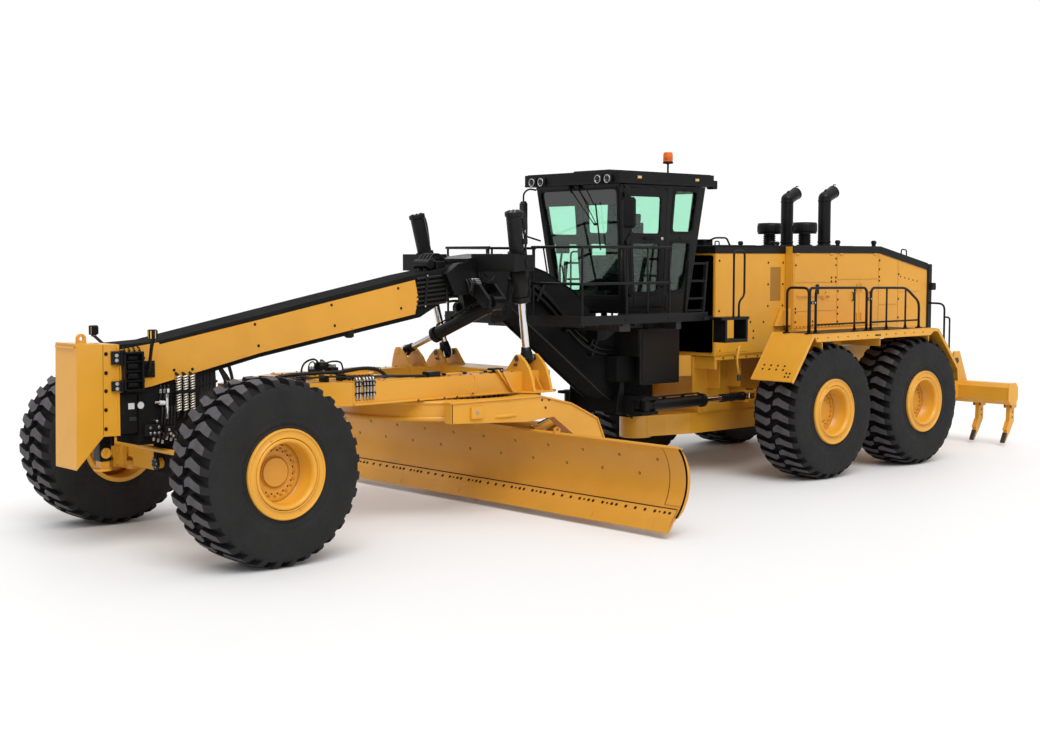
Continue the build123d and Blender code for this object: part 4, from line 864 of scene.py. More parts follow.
TRUN, LIFT_EYE = (-4267.0, 909.0, 3100.0), (-4513.0, 810.0, 1889.0)
p = Piece("lift_barrel_fittings", "lift_barrels", [BLACK, HOSE, STEEL], "black_paint")
d = (V(LIFT_EYE) - V(TRUN)).normalized()
p.lathe([(95, 40), (112, 52), (112, 420), (104, 432), (95, 434)], TRUN, d, 40, 0, True)
p.lathe([(0, -655), (98, -655), (108, -645), (108, -600), (98, -594), (95, -590)], TRUN, d, 40, 0, False)
p.lathe([(95, -150), (118, -146), (118, -66), (95, -62)], TRUN, d, 40, 0, False)
p.lathe([(109, 438), (119, 442), (119, 500), (109, 506), (60, 507)], TRUN, d, 40, 0, False)
for i in range(8):
    a, b, _ = basis(d)
    w = 2 * math.pi * i / 8
    p.bolt(V(TRUN) + d * 505 + a * (88 * math.cos(w)) + b * (88 * math.sin(w)), d, 9, 9, 2)
    p.bolt(V(TRUN) - d * 655 + a * (70 * math.cos(w)) + b * (70 * math.sin(w)), -d, 9, 9, 0)
back = Vector((-1, 0.25, 0)).normalized()
q = lambda t, off: tuple(V(TRUN) + d * t + back * off)
p.tube(bent([q(-560, 90), q(-560, 128), q(440, 134), q(440, 100)], 30), 13, 10, 0)
p.tube(smooth([q(-600, 95), q(-640, 150), q(-520, 175), q(-300, 150), q(-160, 120)], 6), 15, 8, 1)
for t in (-420, -260, 180, 330):
    c = V(q(t, 118))
    p.obox(c, (44, 26, 34), [back, d.cross(back), d], 4, 0)
p.box(TRUN[0] - 60, TRUN[0] + 20, TRUN[1] + 88, TRUN[1] + 122, 3330, 3400, 5, 0)
p.mirror()
p.done()

for s, tag in ((1, "left"), (-1, "right")):
    p = Piece("lift_rod_eye_" + tag, "lift_rod_" + tag, [BLACK, DARKSTEEL], "black_paint")
    e = (LIFT_EYE[0], s * LIFT_EYE[1], LIFT_EYE[2])
    p.lathe([(0, -37), (40, -37), (80, -34), (84, -27), (84, 27), (80, 34), (40, 37), (0, 37)], e, (1, 0, 0), 36, 0, False)
    dd = Vector((d.x, s * d.y, d.z))
    p.lathe([(51, -150), (60, -145), (70, -80), (78, -60), (78, 0)], e, dd, 32, 0, True)
    p.done()

SHIFT_A, SHIFT_B = (-4150.0, 620.0, 2590.0), (-3900.0, -900.0, 1935.0)
ds = (V(SHIFT_B) - V(SHIFT_A)).normalized()
p = Piece("shift_barrel_fittings", "shift_barrel", [BLACK, HOSE, STEEL], "black_paint")
p.lathe([(80, 90), (92, 96), (92, 150), (80, 156)], SHIFT_A, ds, 36, 0, False)
p.lathe([(94, 1060), (104, 1066), (104, 1124), (94, 1132), (50, 1133)], SHIFT_A, ds, 36, 0, False)
for i in range(8):
    a, b, _ = basis(ds)
    w = 2 * math.pi * i / 8
    p.bolt(V(SHIFT_A) + ds * 1131 + a * (78 * math.cos(w)) + b * (78 * math.sin(w)), ds, 8, 8, 2)
up = ds.cross(Vector((1, 0, 0))).normalized()
up = up if up.z > 0 else -up
qs = lambda t, off: tuple(V(SHIFT_A) + ds * t + up * off)
p.tube(bent([qs(200, 75), qs(200, 112), qs(1040, 114), qs(1040, 84)], 30), 12, 10, 0)
p.tube(smooth([qs(170, 78), qs(150, 118), qs(320, 128), qs(600, 124), qs(900, 84)], 6), 12, 8, 1)
for t in (420, 760):
    p.obox(V(qs(t, 98)), (50, 44, 30), [ds.cross(up), up, ds], 4, 0)
p.done()
p = Piece("shift_rod_eye", "shift_rod", [BLACK], "black_paint")
p.lathe([(0, -34), (40, -34), (70, -32), (74, -26), (74, 26), (70, 32), (40, 34), (0, 34)], SHIFT_B, (1, 0, 0), 36, 0, False)
p.lathe([(43, -150), (52, -146), (58, -80), (62, -60), (62, 0)], SHIFT_B, ds, 32, 0, True)
p.done()

def strip(p, pts, y0, y1, t, mat=0):
    """flange along a line of (x, z) points"""
    for (xa, za), (xb, zb) in zip(pts[:-1], pts[1:]):
        u = Vector((xb - xa, 0, zb - za))
        L = u.length
        u.normalize()
        n = Vector((u.z, 0, -u.x))
        p.obox(((xa + xb) / 2, (y0 + y1) / 2, (za + zb) / 2), (L + t * 0.6, abs(y1 - y0), t), [u, Vector((0, 1, 0)), n], 4, mat)


# ---------------------------------------------------------------- drawbar
p = Piece("drawbar_trim", "drawbar", [YELLOW, DARKSTEEL, YELLOW_MATT_SHADE, BLACK], "yellow_paint")
# flanges along the bottom and top of the side rails
p.box(-4830, -1720, 898, 932, 1465, 1488, 5)
p.prism([(-1700, 900), (-1700, 934), (-560, 150), (-560, 116)], "xy", 1465, 1486)
p.box(-4835, -4825, -900, 900, 1480, 1722, 3)
# lugs: pins, keepers
p.cyl((-4702, 810, 1889), (-4324, 810, 1889), 37, 28, 3, 1)
for x, n in ((-4348, 1), (-4678, -1)):
    p.lathe([(0, 0), (52, 0), (52, 8), (40, 10), (0, 10)], (x, 810, 1889), (n, 0, 0), 28, 0, False)
p.obox((-4342, 784, 1838), (10, 30, 96), [Vector((1, 0, 0)), Vector((0, 0.86, 0.5)), Vector((0, -0.5, 0.86))], 3, 2)
p.bolt((-4337, 764, 1806), (1, 0, 0), 11, 9, 1)
p.bolt((-4337, 803, 1812), (1, 0, 0), 13, 10, 1)
# stiffener ahead of the lug, flange round the lug's edge, ribs
p.prism([(-3985, 1732), (-3985, 1712), (-4130, 1492), (-4158, 1486), (-4158, 1500), (-4015, 1732)], "xz", 898, 962)
p.prism([(-3890, 1770), (-4130, 1500), (-4150, 1500), (-3925, 1775)], "xz", 902, 940)
LIFT_LUG = [(590, 1728), (640, 1782), (698, 1848), (752, 1915), (790, 1937), (838, 1937), (885, 1905), (955, 1848), (1018, 1772), (1075, 1640),
            (1118, 1489), (590, 1489)]
SHIFT_LUG = [(-1035, 1600), (-1030, 1700), (-1002, 1830), (-966, 1930), (-925, 1974), (-870, 1978), (-800, 1930), (-705, 1850), (-645, 1765),
             (-610, 1728), (-610, 1600)]
p.prism([(-4205, 898), (-4300, 1060), (-4350, 1125), (-4700, 1125), (-4790, 1060), (-4830, 898)], "xy", 1466, 1489)
for x in (-4440, -4590):
    p.prism([(902, 1486), (1040, 1486), (902, 1660)], "yz", x, x + 14)
p.lathe([(0, 0), (30, 0), (30, 34), (0, 34)], (-3500, 900, 1505), (0, 1, 0), 20, 0, False)
p.lathe([(0, 0), (12, 0), (12, 36), (0, 36)], (-3500, 900, 1505), (0, 1, 0), 14, 1, False)
p.prism([(-3420, 1488), (-3580, 1488), (-3560, 1535), (-3440, 1535)], "xz", 900, 922)
# weld seam and a joint line on the rail's side
p.tube(smooth([(-3540, 902, 1728), (-3560, 902, 1660), (-3520, 902, 1580), (-3420, 902, 1500)], 6), 5, 6, 2)
p.box(-1722, -1712, 880, 903, 1490, 1730, 2, 2)
for x in (-3050, -3250, -2650):
    p.bolt((x, 932, 1476), (0, 1, 0), 10, 8, 1)
# top cover plates with screws
for x0, x1 in ((-2640, -2180), (-2160, -1760)):
    p.box(x0, x1, 640, 880, 1728, 1742, 4)
    for x in (x0 + 30, x1 - 30):
        for y in (665, 855):
            p.bolt((x, y, 1742), (0, 0, 1), 10, 8, 1)
for k in range(9):
    p.bolt((-2850 - 170 * k, 860, 1730), (0, 0, 1), 11, 8, 1)
p.mirror()
# plate over the front opening, with the flange of the circle's drive
p.box(-2190, -1600, -340, 340, 1728, 1742, 5, 0)
p.lathe([(0, 1740), (232, 1740), (232, 1758), (222, 1766), (150, 1766), (144, 1776), (60, 1778), (0, 1778)], (-1915, 0, 0), (0, 0, 1), 56, 0, False)
for i in range(12):
    w = 2 * math.pi * i / 12
    p.bolt((-1915 + 190 * math.cos(w), 190 * math.sin(w), 1766), (0, 0, 1), 12, 10, 1)
p.lathe([(170, 1735), (215, 1738), (215, 1765), (170, 1780)], (-2420, 0, 0), (0, 0, 1), 48, 0, False)
p.lathe([(0, 1818), (150, 1818), (158, 1810), (158, 1780)], (-2420, 0, 0), (0, 0, 1), 48, 0, True)
p.done()

# drawbar: the rails as one plate work with the two openings, nose, lugs and the low drive housing
p = Piece("drawbar_body", "drawbar", [YELLOW, YELLOW_MATT_SHADE], "yellow_paint", ("drawbar",))
p.sheet([(-560, 120), (-1700, 900), (-4830, 900), (-4830, -900), (-1700, -900), (-560, -120)],
        [[(-1350, 60), (-1350, -60), (-2150, -560), (-2150, 560)], [(-2700, 640), (-2700, -640), (-4300, -640), (-4300, 640)]],
        lambda u, v, t: V((u, v, t)), 1465, 1730, 0)
SOCKET = [(-420 + 92 * math.cos(t), 1300 + 92 * math.sin(t)) for t in [math.radians(a) for a in (262, 240, 220, 200, 180, 160, 140, 120, 98)]]
p.prism([(-430, 1208)] + SOCKET[:0] + SOCKET + [(-430, 1400), (-560, 1414), (-1150, 1600), (-1150, 1465), (-560, 1215)], "xz", -85, 85, 0)
p.prism([(-560, 1230), (-560, 1560), (-900, 1730), (-1400, 1730), (-1400, 1465), (-1000, 1400)], "xz", -60, 60, 0)
for side in (1, -1):
    lug = [(side * y, z) for y, z in LIFT_LUG]
    p.prism(lug, "yz", -4388, -4348, 0)
    p.prism(lug, "yz", -4678, -4638, 0)
sx, sy, sz = SHIFT_B
for x0, x1 in ((sx + 112, sx + 147), (sx - 147, sx - 112)):
    p.prism(SHIFT_LUG, "yz", x0, x1, 0)
    p.lathe([(0, -6), (50, -6), (50, x1 - x0 + 6), (0, x1 - x0 + 6)], (x0, sy, sz), (1, 0, 0), 28, 0, False)
p.cyl((-2420, 0, 1500), (-2420, 0, 1812), 165, 48, 6, 0)
p.done()

p = Piece("drawbar_hydraulics", "drawbar", [HOSE, STEEL, BLACK, BRASS, YELLOW], "black_paint")
# stack of short pipes on the rail's side
for k in range(6):
    x = -1765 - 44 * k - (18 if k > 1 else 0)
    p.tube(bent([(x, 860, 1760), (x, 905, 1792), (x, 920, 1740), (x, 920, 1560), (x, 902, 1530)], 30, 4), 13, 10, 1)
    for z in (1610, 1690, 1740):
        p.lathe([(13, -8), (19, -6), (19, 6), (13, 8)], (x, 920, z), (0, 0, 1), 10, 2, False)
for z in (1600, 1720):
    p.box(-2040, -1745, 903, 914, z - 12, z + 12, 2, 2)
# motor of the circle's drive with its ports and the hoses round it
p.lathe([(0, 1776), (66, 1776), (66, 1800), (50, 1806), (50, 1826)], (-1913, 0, 0), (0, 0, 1), 28, 1, False)
p.lathe([(0, 1824), (78, 1824), (88, 1838), (90, 1880), (82, 1906), (60, 1918), (0, 1920)], (-1913, 0, 0), (0, 0, 1), 32, 2, False)
p.box(-1880, -1760, -70, 70, 1776, 1836, 6, 2)
p.box(-2100, -1990, -60, 90, 1772, 1850, 6, 2)
for k in range(4):
    p.cyl((-1860 + 30 * k, -40, 1834), (-1860 + 30 * k, -40, 1868), 11, 8, 2, 3)
    p.cyl((-2086 + 26 * k, 40, 1848), (-2086 + 26 * k, 40, 1884), 10, 8, 2, (1, 3)[k % 2])
p.tube(smooth([(-1603, 40, 1745), (-1612, 20, 1830), (-1650, 10, 1900), (-1719, 0, 1940), (-1800, 0, 1955), (-1850, 0, 1930), (-1862, 0, 1895)], 6), 12, 8, 0)
p.tube(smooth([(-1700, 60, 1768), (-1698, 40, 1830), (-1725, 20, 1900), (-1790, 10, 1925), (-1830, 0, 1850)], 6), 8, 8, 0)
p.tube(smooth([(-1985, 0, 1880), (-2040, 10, 1868), (-2094, 30, 1815), (-2130, 60, 1765), (-2150, 90, 1742)], 6), 15, 8, 0)
p.tube(smooth([(-1960, 30, 1905), (-2040, 60, 1922), (-2120, 80, 1912), (-2150, 90, 1870), (-2158, 100, 1790), (-2160, 120, 1745)], 6), 11, 8, 0)
p.tube(smooth([(-1950, -60, 1900), (-1990, -120, 1930), (-2060, -150, 1900), (-2110, -170, 1800), (-2130, -190, 1744)], 6), 11, 8, 0)
# thick wrapped hose arched along the rail, thin lines under it
p.tube(smooth([(-1000, 400, 1800), (-1131, 480, 1830), (-1349, 500, 1832), (-1600, 500, 1830), (-1797, 500, 1828), (-1950, 500, 1838), (-2115, 500, 1855),
               (-2261, 500, 1852), (-2400, 500, 1815), (-2480, 510, 1760), (-2500, 520, 1738)], 5), 21, 12, 0)
for k in range(14):
    x = -1880 - 40 * k
    z = 1833 + 22 * math.sin(math.pi * (k + 1) / 15)
    p.lathe([(21, -6), (24, -4), (24, 4), (21, 6)], (x, 500, z), (1, 0, 0), 14, 2, True)
for k in range(3):
    p.tube(smooth([(-1000, 430 + 30 * k, 1760 + 8 * k), (-1140, 520 + 26 * k, 1786), (-1360, 560 + 26 * k, 1790), (-1620, 570 + 24 * k, 1790), (-1800, 600 + 20 * k, 1775), (-1860, 640 + 16 * k, 1745)], 5), 10, 8, 0)
for x in (-1240, -1560, -1800):
    p.box(x - 14, x + 14, 470, 640, 1728, 1806, 3, 2)
for k in range(6):
    x = -1765 - 44 * k - (18 if k > 1 else 0)
    p.tube(smooth([(x, 880, 1778), (x - 4, 840, 1800), (x - 14, 790, 1800), (x - 30, 740, 1770), (x - 34, 720, 1742)], 4), 10, 8, 0)
for k in range(5):
    y = 380 + 46 * k
    p.tube(smooth([(-1880, y, 1752), (-1980, y + 10, 1762), (-2100, y + 40 + 8 * k, 1762), (-2250, 560 + 30 * k, 1760), (-2450, 660 + 26 * k, 1762), (-2700, 690 + 24 * k, 1752), (-2900, 700 + 24 * k, 1744)], 5), 12, 8, 0)
for k in range(4):
    y = -200 + 60 * k
    p.tube(smooth([(-1620, 240 - 40 * k, 1752), (-1520, 180 - 30 * k, 1775), (-1400, 110 - 30 * k, 1775), (-1300, 60 - 30 * k, 1765), (-1150, 45 - 30 * k, 1752)], 5), 12, 8, 0)
p.tube(bent([(-2950, 760, 1750), (-3300, 760, 1750), (-3600, 780, 1752), (-4150, 800, 1752)], 60), 10, 8, 4)
p.tube(bent([(-2950, 800, 1750), (-3300, 800, 1750), (-4150, 830, 1752)], 60), 10, 8, 4)
for k in range(3):
    p.box(-3150 - 330 * k, -3110 - 330 * k, 735, 850, 1738, 1766, 4, 2)
p.box(-3080, -2900, 690, 830, 1730, 1790, 6, 2)
p.box(-4080, -3900, 740, 850, 1732, 1785, 6, 2)
for k in range(3):
    p.cyl((-3930 - 50 * k, 850, 1760), (-3930 - 50 * k, 872, 1760), 11, 8, 2, 1)
p.done()

# ---------------------------------------------------------------- circle, carrier and blade
p = Piece("circle_trim", "circle", [YELLOW, RECESS_SHADE, DARKSTEEL, STEEL], "yellow_paint")
ARM_TOP = [(-2836, 1449), (-4282, 1449), (-4800, 1325), (-5271, 1104), (-5400, 827), (-5300, 500), (-4980, 290)]
ARM_LOW = [(-4499, 1178), (-4893, 901), (-5010, 820), (-5020, 700)]


strip(p, ARM_TOP, 1175, 1336, 22)
strip(p, ARM_LOW, 1180, 1334, 18)
# thin dark line at the joint of the arm and the circle's plate: painted shade in the gap
p.box(-2856, -2844, 1318, 1322.5, 1210, 1453, 1, 1)
p.sheet(rounded([(-3312, 1390), (-3123, 1390), (-3123, 1246), (-3312, 1246)], 14), [], lambda u, v, t: V((u, t, v)), 1319, 1352, 0)
p.box(-3236, -3196, 1350, 1356, 1300, 1342, 2, 3)
p.lathe([(0, 0), (62, 0), (62, 14), (0, 14)], (-4620, 1333, 420), (0, 1, 0), 32, 2, False)
p.lathe([(62, -2), (96, -2), (96, 10), (62, 10)], (-4620, 1322, 420), (0, 1, 0), 32, 0, False)
for x, z in ((-4300, 1400), (-4360, 1300), (-4420, 1395)):
    p.bolt((x, 1320, z), (0, 1, 0), 12, 9, 2)
p.mirror()
# outer wear band, top band and inner teeth of the ring
p.lathe([(1316, 1214), (1332, 1220), (1332, 1262), (1316, 1268)], (-3700, 0, 0), (0, 0, 1), 96, 0, True)
p.lathe([(1316, 1412), (1326, 1418), (1326, 1448), (1316, 1452)], (-3700, 0, 0), (0, 0, 1), 96, 0, True)
for i in range(84):
    w = 2 * math.pi * i / 84
    c, s = math.cos(w), math.sin(w)
    u, t = Vector((c, s, 0)), Vector((-s, c, 0))
    o = Vector((-3700, 0, 0)) + u * 1104
    verts = []
    for z in (1235, 1345):
        verts += [o + u * 24 - t * 30 + Vector((0, 0, z)), o + u * 24 + t * 30 + Vector((0, 0, z)),
                  o - u * 24 + t * 16 + Vector((0, 0, z)), o - u * 24 - t * 16 + Vector((0, 0, z))]
    p.add(verts, [(0, 1, 2, 3), (4, 5, 6, 7), (0, 1, 5, 4), (1, 2, 6, 5), (2, 3, 7, 6), (3, 0, 4, 7)], 2)
p.lathe([(0, 0), (60, 0), (60, 24), (34, 24), (30, 14), (0, 14)], (-5180, 1210, 900), (0, 1, 0), 32, 0, False)
p.done()

# curve of the blade's front face
P0, PM, P1 = (-4193.0, 1017.0), (-4340.0, 640.0), (-4132.0, 214.0)


def circle3(p0, pm, p1):
    (x0, z0), (xm, zm), (x1, z1) = p0, pm, p1
    a, b, c = x0 * x0 + z0 * z0, xm * xm + zm * zm, x1 * x1 + z1 * z1
    d = 2 * (x0 * (zm - z1) + xm * (z1 - z0) + x1 * (z0 - zm))
    cx = (a * (zm - z1) + b * (z1 - z0) + c * (z0 - zm)) / d
    cz = (a * (x1 - xm) + b * (x0 - x1) + c * (xm - x0)) / d
    return cx, cz, math.hypot(x0 - cx, z0 - cz)


CX, CZ, CR = circle3(P0, PM, P1)


def face_at(z):
    dx = math.sqrt(CR * CR - (z - CZ) ** 2)
    x = CX - dx if P0[0] < CX else CX + dx
    n = Vector((CX - x, 0, CZ - z)).normalized()
    return x, n


p = Piece("blade_face", "blade", [YELLOW_BLADE_SHADE, RECESS_SHADE, STEEL, YELLOW_BLADE_SHADE], "yellow_paint")
for z, y0 in ((850, 3262), (655, 2945)):
    for i in range(12):
        y = y0 - 610 * i
        if y < -3500:
            break
        x, n = face_at(z)
        c = Vector((x, y, z))
        # the face's plough bolts sit in dark cones: painted shade in their recesses
        p.lathe([(0, 1.6), (17, 1.6), (19, -2)], c, n, 16, 1, False)
        p.lathe([(19, -2), (22, 1.8), (27, -2)], c, n, 16, 3, False)
        p.obox(c + n * 1.5, (16, 16, 5), [Vector((0, 1, 0)), n.cross(Vector((0, 1, 0))), n], 1, 3)
# step above the cutting edge drawn as a dark strip (painted shade under the step), then the edge's sections with their
# plough bolts, whose recesses are dark discs (painted shade)
p.obox(Vector((-4199, 0, 324)), (10, 7312, 16), [Vector((0.62, 0, -0.785)), Vector((0, 1, 0)), Vector((0.785, 0, 0.62))], 2, 1)
SECTION = 7320.0 / 6
NN = Vector((0.78, 0, 0.626))
for i in range(6):
    y0 = -3660 + SECTION * i
    if i:
        p.obox(Vector((-4114, y0, 204)), (226, 3, 5), [Vector((0.626, 0, -0.78)), Vector((0, 1, 0)), NN], 0.5, 3)
    for k, off in enumerate((76, 152, 228, 304, 456, 608, 760, 912, 988, 1064, 1140)):
        r = 11 if k in (1, 8) else 17
        c = Vector((-4158, y0 + off, 281))
        p.lathe([(0, 2.0), (r, 2.0), (r + 3, -2)], c, NN, 12, 1, False)


def on_face(y, z, t):
    x, n = face_at(z)
    return Vector((x, y, z)) + n * t


STEPS = 14
for s in (1, -1):
    # wear plate at the end of the face, with a dark strip along its inner edge: painted shade in the gap
    for mat, ya, yb, t in ((0, 3428, 3660, 6.0), (1, 3414, 3428, 1.2)):
        verts = []
        for k in range(STEPS + 1):
            z = 350 + (1012 - 350) * k / STEPS
            verts += [on_face(s * ya, z, t), on_face(s * yb, z, t), on_face(s * ya, z, -3), on_face(s * yb, z, -3)]
        faces = [(0, 1, 3, 2), (4 * STEPS, 4 * STEPS + 2, 4 * STEPS + 3, 4 * STEPS + 1)]
        for k in range(STEPS):
            a, b = 4 * k, 4 * k + 4
            faces += [(a, b, b + 1, a + 1), (a + 2, a + 3, b + 3, b + 2), (a, a + 2, b + 2, b), (a + 1, b + 1, b + 3, a + 3)]
        p.add(verts, faces, mat)
    # rounded cheek behind the end of the face
    edge = [tuple((q.x, q.z)) for q in (on_face(0, 232 + (1012 - 232) * k / 16, 0) for k in range(17))]
    back = [(-4250, 1005), (-4345, 900), (-4408, 760), (-4420, 600), (-4380, 420), (-4300, 290), (-4215, 222)]
    p.prism(edge + back, "xz", s * 3632, s * 3660, 0)
    p.prism([(-4205, 333), (-4116, 229), (-4020, 76), (-4030, 76), (-4128, 222), (-4214, 326)], "xz", s * 3430, s * 3660, 0)
# lifting eyes on the blade's top edge
for y in (1650, -1650):
    p.sheet(rounded([(-4290, 1010), (-4190, 1010), (-4190, 1090), (-4290, 1090)], 40), [rounded([(-4262, 1042), (-4218, 1042), (-4218, 1082), (-4262, 1082)], 20)],
            lambda u, v, t: V((u, t, v)), y - 12, y + 12, 0)
# top edge flange and back ribs
p.prism([(-4196, 1019), (-4196, 1003), (-4290, 1003), (-4290, 1019)], "xz", -3658, 3658, 0)
for i in range(9):
    y = -3200 + 800 * i
    p.prism([(-4260, 960), (-4385, 640), (-4270, 330), (-4400, 360), (-4440, 640), (-4380, 900)], "xz", y - 8, y + 8, 3)
p.done()

p = Piece("carrier_trim", "blade_carrier", [YELLOW, DARKSTEEL, BLACK, HOSE, STEEL], "yellow_paint")
for y in (-975, 390):
    p.cyl((-4580, y - 30, 560), (-4580, y + 30, 560), 78, 28, 4, 2)
p.cyl((-4580, -940, 560), (-4580, 355, 560), 66, 28, 3, 2)
p.tube(bent([(-4580, -900, 640), (-4620, -900, 668), (-4620, 300, 668), (-4580, 300, 630)], 30), 12, 8, 3)
for s in (1, -1):
    for x, z in ((-4510, 420), (-4510, 830)):
        p.bolt((x, s * 1190, z), (0, s, 0), 14, 10, 1)
    for z in (345, 875):
        for k in range(3):
            p.bolt((-4450, s * (900 + 110 * k), z + (26 if z > 500 else -26)), (0, 0, 1 if z > 500 else -1), 13, 10, 1)
p.done()

for name, body in (("tip_barrel_trim", "tip_barrels"),):
    A, B = Vector((-5180, 700, 1060)), Vector((-4540, 700, 865))
    dd = (B - A).normalized()
    p = Piece(name, body, [YELLOW, DARKSTEEL, HOSE], "yellow_paint")
    p.lathe([(57, 405), (72, 410), (72, 474), (64, 482), (38, 482)], A, dd, 32, 0, False)
    p.tube([A + dd * 120 + Vector((0, 0, 60)), A + dd * 160 + Vector((0, 0, 74)), A + dd * 390 + Vector((0, 0, 74))], 10, 8, 2)
    for i in range(6):
        a, b, _ = basis(dd)
        w = 2 * math.pi * i / 6
        p.bolt(A + dd * 481 + a * (54 * math.cos(w)) + b * (54 * math.sin(w)), dd, 7, 6, 1)
    p.mirror()
    p.done()

# ---------------------------------------------------------------- front axle details
p = Piece("axle_trim", "front_axle" if "front_axle" in frame["bodies"] else "front_frame", [YELLOW, DARKSTEEL, BLACK, HOSE, STEEL], "yellow_paint")
for s in (1, -1):
    for x in (-130, 130):
        for y in (300, 500, 700):
            p.bolt((x, s * y, 1020), (0, 0, 1), 13, 10, 1)
    p.prism([(160, 780), (160, 1020), (170, 1020), (170, 780)], "xz", s * 200, s * 780, 0)
    p.lathe([(0, 0), (86, 0), (86, 16), (70, 22), (0, 22)], (122, s * 1120, 930), (1, 0, 0), 32, 0, False)
p.lathe([(0, 0), (74, 0), (74, 18), (60, 26), (0, 26)], (300, 0, 900), (1, 0, 0), 36, 2, False)
for i in range(6):
    w = 2 * math.pi * i / 6
    p.bolt((324, 50 * math.cos(w), 900 + 50 * math.sin(w)), (1, 0, 0), 8, 7, 4)
# differential and drive lines behind the axle
for k in range(3):
    p.tube(smooth([(-150, 150 + 60 * k, 1000), (-210, 170 + 60 * k, 1060), (-230, 200 + 50 * k, 1180), (-200, 230, 1300)], 6), 13, 8, 3)
p.done()

# ---------------------------------------------------------------- cab walls
A_LOW, A_TOP = (-6446.0, 708.0, 2400.0), (-6198.0, 822.0, 4150.0)
B_TOP = (-7120.0, 866.0, 4150.0)
R_TOP = (-7870.0, 880.0, 4150.0)


def wall(p0, q0, r0):
    """point and outward normal of a wall, and its y at x, z"""
    n = (V(q0) - V(p0)).cross(V(r0) - V(p0)).normalized()
    if n.dot(V(p0) - Vector((-6950, 0, 3300))) < 0:
        n = -n
    o = V(p0)
    return n, lambda x, z: o.y - (n.x * (x - o.x) + n.z * (z - o.z)) / n.y


N_SIDE, Y_SIDE = wall(A_LOW, A_TOP, B_TOP)
B_LOW = (-7163.0, Y_SIDE(-7163.0, 2400.0), 2400.0)
N_REAR, Y_REAR = wall(B_TOP, B_LOW, R_TOP)


def put_side(s):
    return lambda u, v, t: V((u + N_SIDE.x * t, s * (Y_SIDE(u, v) + N_SIDE.y * t), v + N_SIDE.z * t))


def put_rear(s):
    return lambda u, v, t: V((u + N_REAR.x * t, s * (Y_REAR(u, v) + N_REAR.y * t), v + N_REAR.z * t))


FR = Vector((1750, 0, -248)).normalized()


def x_front(z):
    return -6446.0 + (z - 2400.0) * 248.0 / 1750.0


def put_front(u, v, t):
    return V((x_front(v) + FR.x * t, u, v + FR.z * t))


BK = Vector((-1750, 0, -230)).normalized()


def x_back(z):
    return -7640.0 - (z - 2400.0) * 230.0 / 1750.0


def put_back(u, v, t):
    return V((x_back(v) + BK.x * t, u, v + BK.z * t))


DOOR = [(-7091, 4106), (-6269, 4106), (-6499, 2477), (-7127, 2477)]
DOOR_UPPER = [(-7020, 4030), (-6345, 4030), (-6430, 3455), (-7032, 3455)]
DOOR_LOWER = [(-7035, 3395), (-6445, 3395), (-6540, 2660), (-7050, 2660)]
REAR_UPPER = [(-7230, 4105), (-7735, 4105), (-7665, 3500), (-7215, 3500)]
REAR_LOWER = [(-7225, 3390), (-7640, 3390), (-7590, 2930), (-7510, 2680), (-7215, 2680)]
SCREEN = [(-770, 4105), (770, 4105), (625, 2620), (-625, 2620)]
BACK = [(-700, 4090), (700, 4090), (670, 3350), (-670, 3350)]

for s, tag in ((1, "left"), (-1, "right")):
    body = "cab_door_" + tag
    put = put_side(s)
    p = Piece("door_frame_" + tag, body, [BLACK, BLACK_M, STEEL], "black_paint", (body,))
    up, low = rounded(inset(DOOR_UPPER, 26), 60), rounded(inset(DOOR_LOWER, 26), 60)
    p.sheet(rounded(DOOR, 24, 3), [up, low], put, -45, 0)
    # pressed frame round the panes, and their rubber
    for hole in (DOOR_UPPER, DOOR_LOWER):
        p.sheet(rounded(inset(hole, -6), 70), [rounded(inset(hole, 27), 56)], put, 0, 7)
        p.sheet(rounded(inset(hole, 22), 58), [rounded(inset(hole, 40), 46)], put, -20, 5, 1)
    p.sheet(rounded([(-7080, 2640), (-6560, 2640), (-6580, 2500), (-7090, 2500)], 20), [], put, 0, 8)
    # hinges
    hl, hd = V((-6489.24, 733.23, 2498.85)), V((0.140021, 0.064365, 0.988054))
    for t in (200, 850, 1500):
        a, b = hl + hd * (t + 2), hl + hd * (t + 60)
        a, b = V((a.x, s * a.y, a.z)), V((b.x, s * b.y, b.z))
        p.cyl(a, b, 13, 14, 2, 0)
        m = (a + b) / 2
        m2 = put(m.x - 35, m.z, 6)
        p.obox(m2, (54, 12, 50), [Vector((1, 0, 0)), Vector((N_SIDE.x, s * N_SIDE.y, N_SIDE.z)), Vector((0, 0, 1))], 3, 0)
    # handle and lock
    a, b = put(-6700, 3425, 12), put(-6900, 3425, 12)
    p.obox((a + b) / 2, (210, 22, 26), [b - a, Vector((0, s, 0)), Vector((0, 0, 1))], 6, 1)
    a, b = put(-6700, 3425, 44), put(-6880, 3425, 44)
    p.tube(bent([put(-6690, 3425, 4), a, b, put(-6890, 3425, 4)], 20), 9, 8, 1)
    p.cyl(put(-7040, 3425, 2), put(-7040, 3425, 16), 22, 16, 3, 2)
    p.tube(bent([put(-7072, 3300, 4), put(-7072, 3300, 46), put(-7082, 2760, 46), put(-7082, 2760, 4)], 30), 10, 8, 1)
    p.done()
    g = Piece("door_glass_" + tag, body, [GLASS], "cab_glass")
    for hole in (DOOR_UPPER, DOOR_LOWER):
        g.sheet(rounded(inset(hole, 28), 54), [], put, -16, -10)
    g.done()

